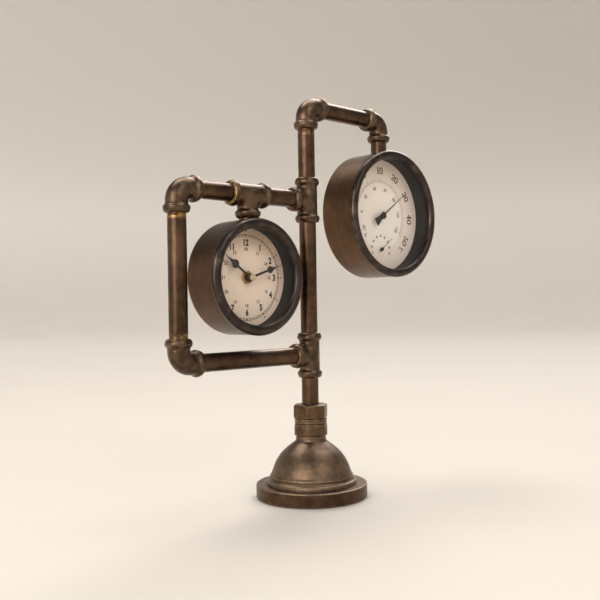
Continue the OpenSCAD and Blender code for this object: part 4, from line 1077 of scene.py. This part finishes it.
def written(words, tall, narrow=1.0):
    """A line of serif figures about its middle."""
    strokes, start = [], 0.0
    for sign in words:
        for path in pen_lines[sign]:
            points, faces = pen_stroke(path, tall)
            strokes.append((points + [start * tall, 0, 0], faces))
        start += narrow_signs.get(sign, pen_width)
    middle = np.array([start * tall / 2 - serif_gap * tall, tall / 2, 0])
    return [((points - middle) * [narrow, 1, 1], faces) for points, faces in strokes]


def round_at(radius, angles):
    """Points at that radius, at clock angles in radians."""
    return [(radius * math.sin(a), radius * math.cos(a)) for a in angles]


top_celsius, celsius_step = 10, 3.06
middle_share, humid_step = 50, 2.7


def celsius_angle(degrees):
    return (degrees - top_celsius) * celsius_step


def fahrenheit_angle(degrees):
    return celsius_angle((degrees - 32) / 1.8)


def humid_angle(share):
    return (share - middle_share) * humid_step


serif_ink = ink("serif_ink", "3a2519", "5d4230", 0.6)
faint_ink = ink("faint_ink", "5c4638", "8a7260", 0.8)
mark_ink = ink("mark_ink", "7a5232", "9c7350", 0.6)
celsius_r, celsius_high, celsius_wide = 50.3, 7.6, 1.16
fahrenheit_r, fahrenheit_high, fahrenheit_heavy = 30.6, 4.0, 0.02
humid_r, humid_high, humid_heavy, small_narrow = 14.6, 2.7, 0.035, 0.9
celsius_in, fahrenheit_out, humid_in = 39.2, ring_r - 1.2, 17.0
celsius = []
for degrees in range(-30, 51, 10):
    strokes = written(str(degrees), celsius_high, celsius_wide)
    celsius += [moved(stroke, celsius_angle(degrees), celsius_r) for stroke in strokes]
ring_angles = np.radians(np.arange(-ring_end, ring_end + 1, 4))
ring_outside = round_at(ring_r + ring_thick / 2, ring_angles)
ring_inside = round_at(ring_r - ring_thick / 2, ring_angles[::-1])
scale = [slab(ring_outside + ring_inside, ink_rise)]
celsius_grades = (10, 2.6, 0.45), (5, 1.6, 0.26), (1, 0.9, 0.26)
fahrenheit_grades = (20, -2.2, 0.24), (10, -1.2, 0.24), (2, -0.7, 0.24)
scale += ticks(range(-30, 51), celsius_angle, celsius_in, *celsius_grades)
scale += ticks(range(-20, 121, 2), fahrenheit_angle, fahrenheit_out, *fahrenheit_grades)
for degrees in range(-20, 121, 20):
    small = figures(str(degrees), fahrenheit_high, small_narrow, fahrenheit_heavy)
    scale.append(moved(small, fahrenheit_angle(degrees), fahrenheit_r))
hygro_centre = centre_mm("hygro_arbor")
humid = []
for share in range(10, 91, 10):
    small = figures(str(share), humid_high, small_narrow, humid_heavy)
    humid.append(moved(small, humid_angle(share), humid_r))
humid += ticks(range(0, 101, 5), humid_angle, humid_in, (10, 1.4, 0.24), (5, 0.8, 0.24))
hygro_drop = hygro_centre[1] - gauge_centre[1]
scale += [(points + [0, hygro_drop, 0], faces) for points, faces in humid]
units = []
for words, angle, distance, tall in (("oC", 136, 50, 6.4), ("oF", -132, 33, 5.0)):
    units += [moved(stroke, angle, distance) for stroke in written(words, tall)]
gauge_print = ("thermo_face", gauge_centre, "thermo_dial")
printed("celsius_figures", celsius, serif_ink, *gauge_print)
printed("gauge_scale", scale, faint_ink, *gauge_print)
printed("unit_marks", units, mark_ink, *gauge_print)


# Gauge works and pointers
# A brass bridge behind the dial carries two arbors; a spiral strip that winds with heat or damp turns each.
# The pointers are stamped from thin steel and enamelled black.
dress(brass, "thermo_bridge", "thermo_spiral", "hygro_spiral")
dress(enamel, "thermo_arbor", "hygro_arbor", "thermo_pointer")
needle_low, needle_high = box_mm("hygro_pointer")
hygro_x, hygro_z = hygro_centre
corners = [v.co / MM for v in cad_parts["hygro_pointer"].data.vertices]
tip = max(corners, key=lambda v: math.hypot(v.x - hygro_x, v.z - hygro_z))
needle_angle = math.degrees(math.atan2(tip.x - hygro_x, tip.z - hygro_z))
needle_len = math.hypot(tip.x - hygro_x, tip.z - hygro_z)
hub_r, needle_wide, needle_point, tail_len, tail_wide = 2.2, 0.45, 0.2, 4.6, 2.2
hub_arc = math.asin(needle_wide / 2 / hub_r)
tail_arc = math.asin(tail_wide / 3 / hub_r)
hub_angles = np.linspace(hub_arc, math.pi - tail_arc, 16)
needle_outline = [(needle_point / 2, needle_len), (-needle_point / 2, needle_len)]
needle_outline += round_at(hub_r, -hub_angles) + [(-tail_wide / 2, -tail_len)]
needle_outline += [(tail_wide / 2, -tail_len)] + round_at(hub_r, hub_angles[::-1])
needle = moved(slab(needle_outline, needle_high[1] - needle_low[1]), needle_angle, 0)
needle = stood(needle, hygro_centre, (needle_low[1] + needle_high[1]) / 2, to_front)
piece("hygro_needle_blade", needle, enamel, ["hygro_pointer"], "hygro_needle", smooth=30)


# Glasses
# Discs of clear plate glass, held between the bezel and the liner.
# Both faces are plain and polished, with a faint film of dust and wiping marks.
clear_glass = bpy.data.materials.new("clear_glass")
clear_glass.use_nodes = True
tree = clear_glass.node_tree
tree.nodes.remove(tree.nodes["Principled BSDF"])
at = Wire(tree).node("ShaderNodeTexCoord", {}, {}, "Object")
film = at.stretch(1, 1, 0.3).noise(55, 5, 0.7).step(0.5, 0.9)
facing = at.node("ShaderNodeLayerWeight", {}, {"Blend": 0.5}, "Facing")
shine = facing ** 5 * 0.5 + 0.012 + film * 0.004
clear = at.node("ShaderNodeBsdfTransparent", {}, {"Color": (0.985, 0.99, 0.985, 1)})
gloss = at.node("ShaderNodeBsdfGlossy", {}, {"Color": (1, 1, 1, 1), "Roughness": 0.04})
both = at.node("ShaderNodeMixShader", {}, {0: shine, 1: clear, 2: gloss})
tree.links.new(both.socket, tree.nodes["Material Output"].inputs["Surface"])
dress(clear_glass, "clock_glass", "thermo_glass")


# Studio
# A pale round floor that curves up far away, two soft lights, four broad glows in the air and the camera.
# None of it belongs to the object.
def plain_paper(at):
    cloud = at.noise(3)
    paper = cloud.mix("c0bab2", "bbb5ad")
    return {
        "Base Color": at.along(2).step(0.0, 1.2).mix(paper, "e9e5de"),
        "Roughness": 0.75 + cloud * 0.1,
    }


floor_r, floor_thick, floor_sides, curve_r, wall_top = 5000, 2, 96, 2500, 3400
wall_r = floor_r + curve_r
sweep = [(0, 0), (floor_r, 0)]
for a in np.linspace(0.08, 1.55, 16):
    sweep.append((floor_r + curve_r * math.sin(a), curve_r - curve_r * math.cos(a)))
sweep += [(wall_r, wall_top), (wall_r + floor_thick, wall_top)]
sweep += [(wall_r + floor_thick, -floor_thick), (0, -floor_thick)]
floor_paper = finish("floor_paper", {}, plain_paper)
floor = piece("studio_floor", turned(np.array(sweep), floor_sides), floor_paper)
aim = Vector((0, 0, 0.22))


def soft_light(name, place, size, watts, colour):
    lamp = bpy.data.lights.new(name, "AREA")
    lamp.shape = "ELLIPSE"
    lamp.size, lamp.size_y = size
    lamp.energy = watts
    lamp.color = colour
    made = brought(name, lamp)
    made.location = place
    made.rotation_euler = (aim - Vector(place)).to_track_quat("-Z", "Y").to_euler()


soft_light("key_light", (-1.59, -0.46, 0.75), size=(1.3, 1.4), watts=17, colour=(1.0, 0.96, 0.91))
soft_light("top_light", (0.3, 0.5, 1.5), size=(1.0, 0.7), watts=4, colour=(1.0, 0.95, 0.88))
world = bpy.data.worlds.new("studio_air")
world.use_nodes = True
air = world.node_tree.nodes["Background"]
air.inputs["Color"].default_value = (1.0, 0.96, 0.92, 1)
look = Wire(world.node_tree).node("ShaderNodeTexCoord", {}, {}, "Generated")
glow, glow_core = 0.2, 0.995
for way, edge, bright in (
    ((-0.06, 0.35, 0.93), 0.92, 6.2),
    ((0.35, -0.04, 0.93), 0.92, 5.2),
    ((0.69, 0.36, 0.63), 0.94, 7.0),
    ((-0.05, -0.82, 0.57), 0.87, 2.2),
):
    glow = glow + look.vector("DOT_PRODUCT", way, "Value").step(edge, glow_core) * bright
world.node_tree.links.new(glow.socket, air.inputs["Strength"])
bpy.context.scene.world = world
bpy.context.scene.view_settings.view_transform = "Standard"

lens = bpy.data.cameras.new("camera")
lens.sensor_fit = "HORIZONTAL"
lens.sensor_width = 36
lens.lens = 49.42
camera = brought("camera", lens)
camera_place = Vector((-584.40, -606.07, 195.45)) * MM
yaw, pitch, roll = np.radians((43.351, 0.305, -0.944))
swing = Matrix.Rotation(-yaw, 4, "Z")
tilt = Matrix.Rotation(math.pi / 2 + pitch, 4, "X")
camera.matrix_world = Matrix.Translation(camera_place) @ swing @ tilt @ Matrix.Rotation(roll, 4, "Z")
bpy.context.scene.camera = camera
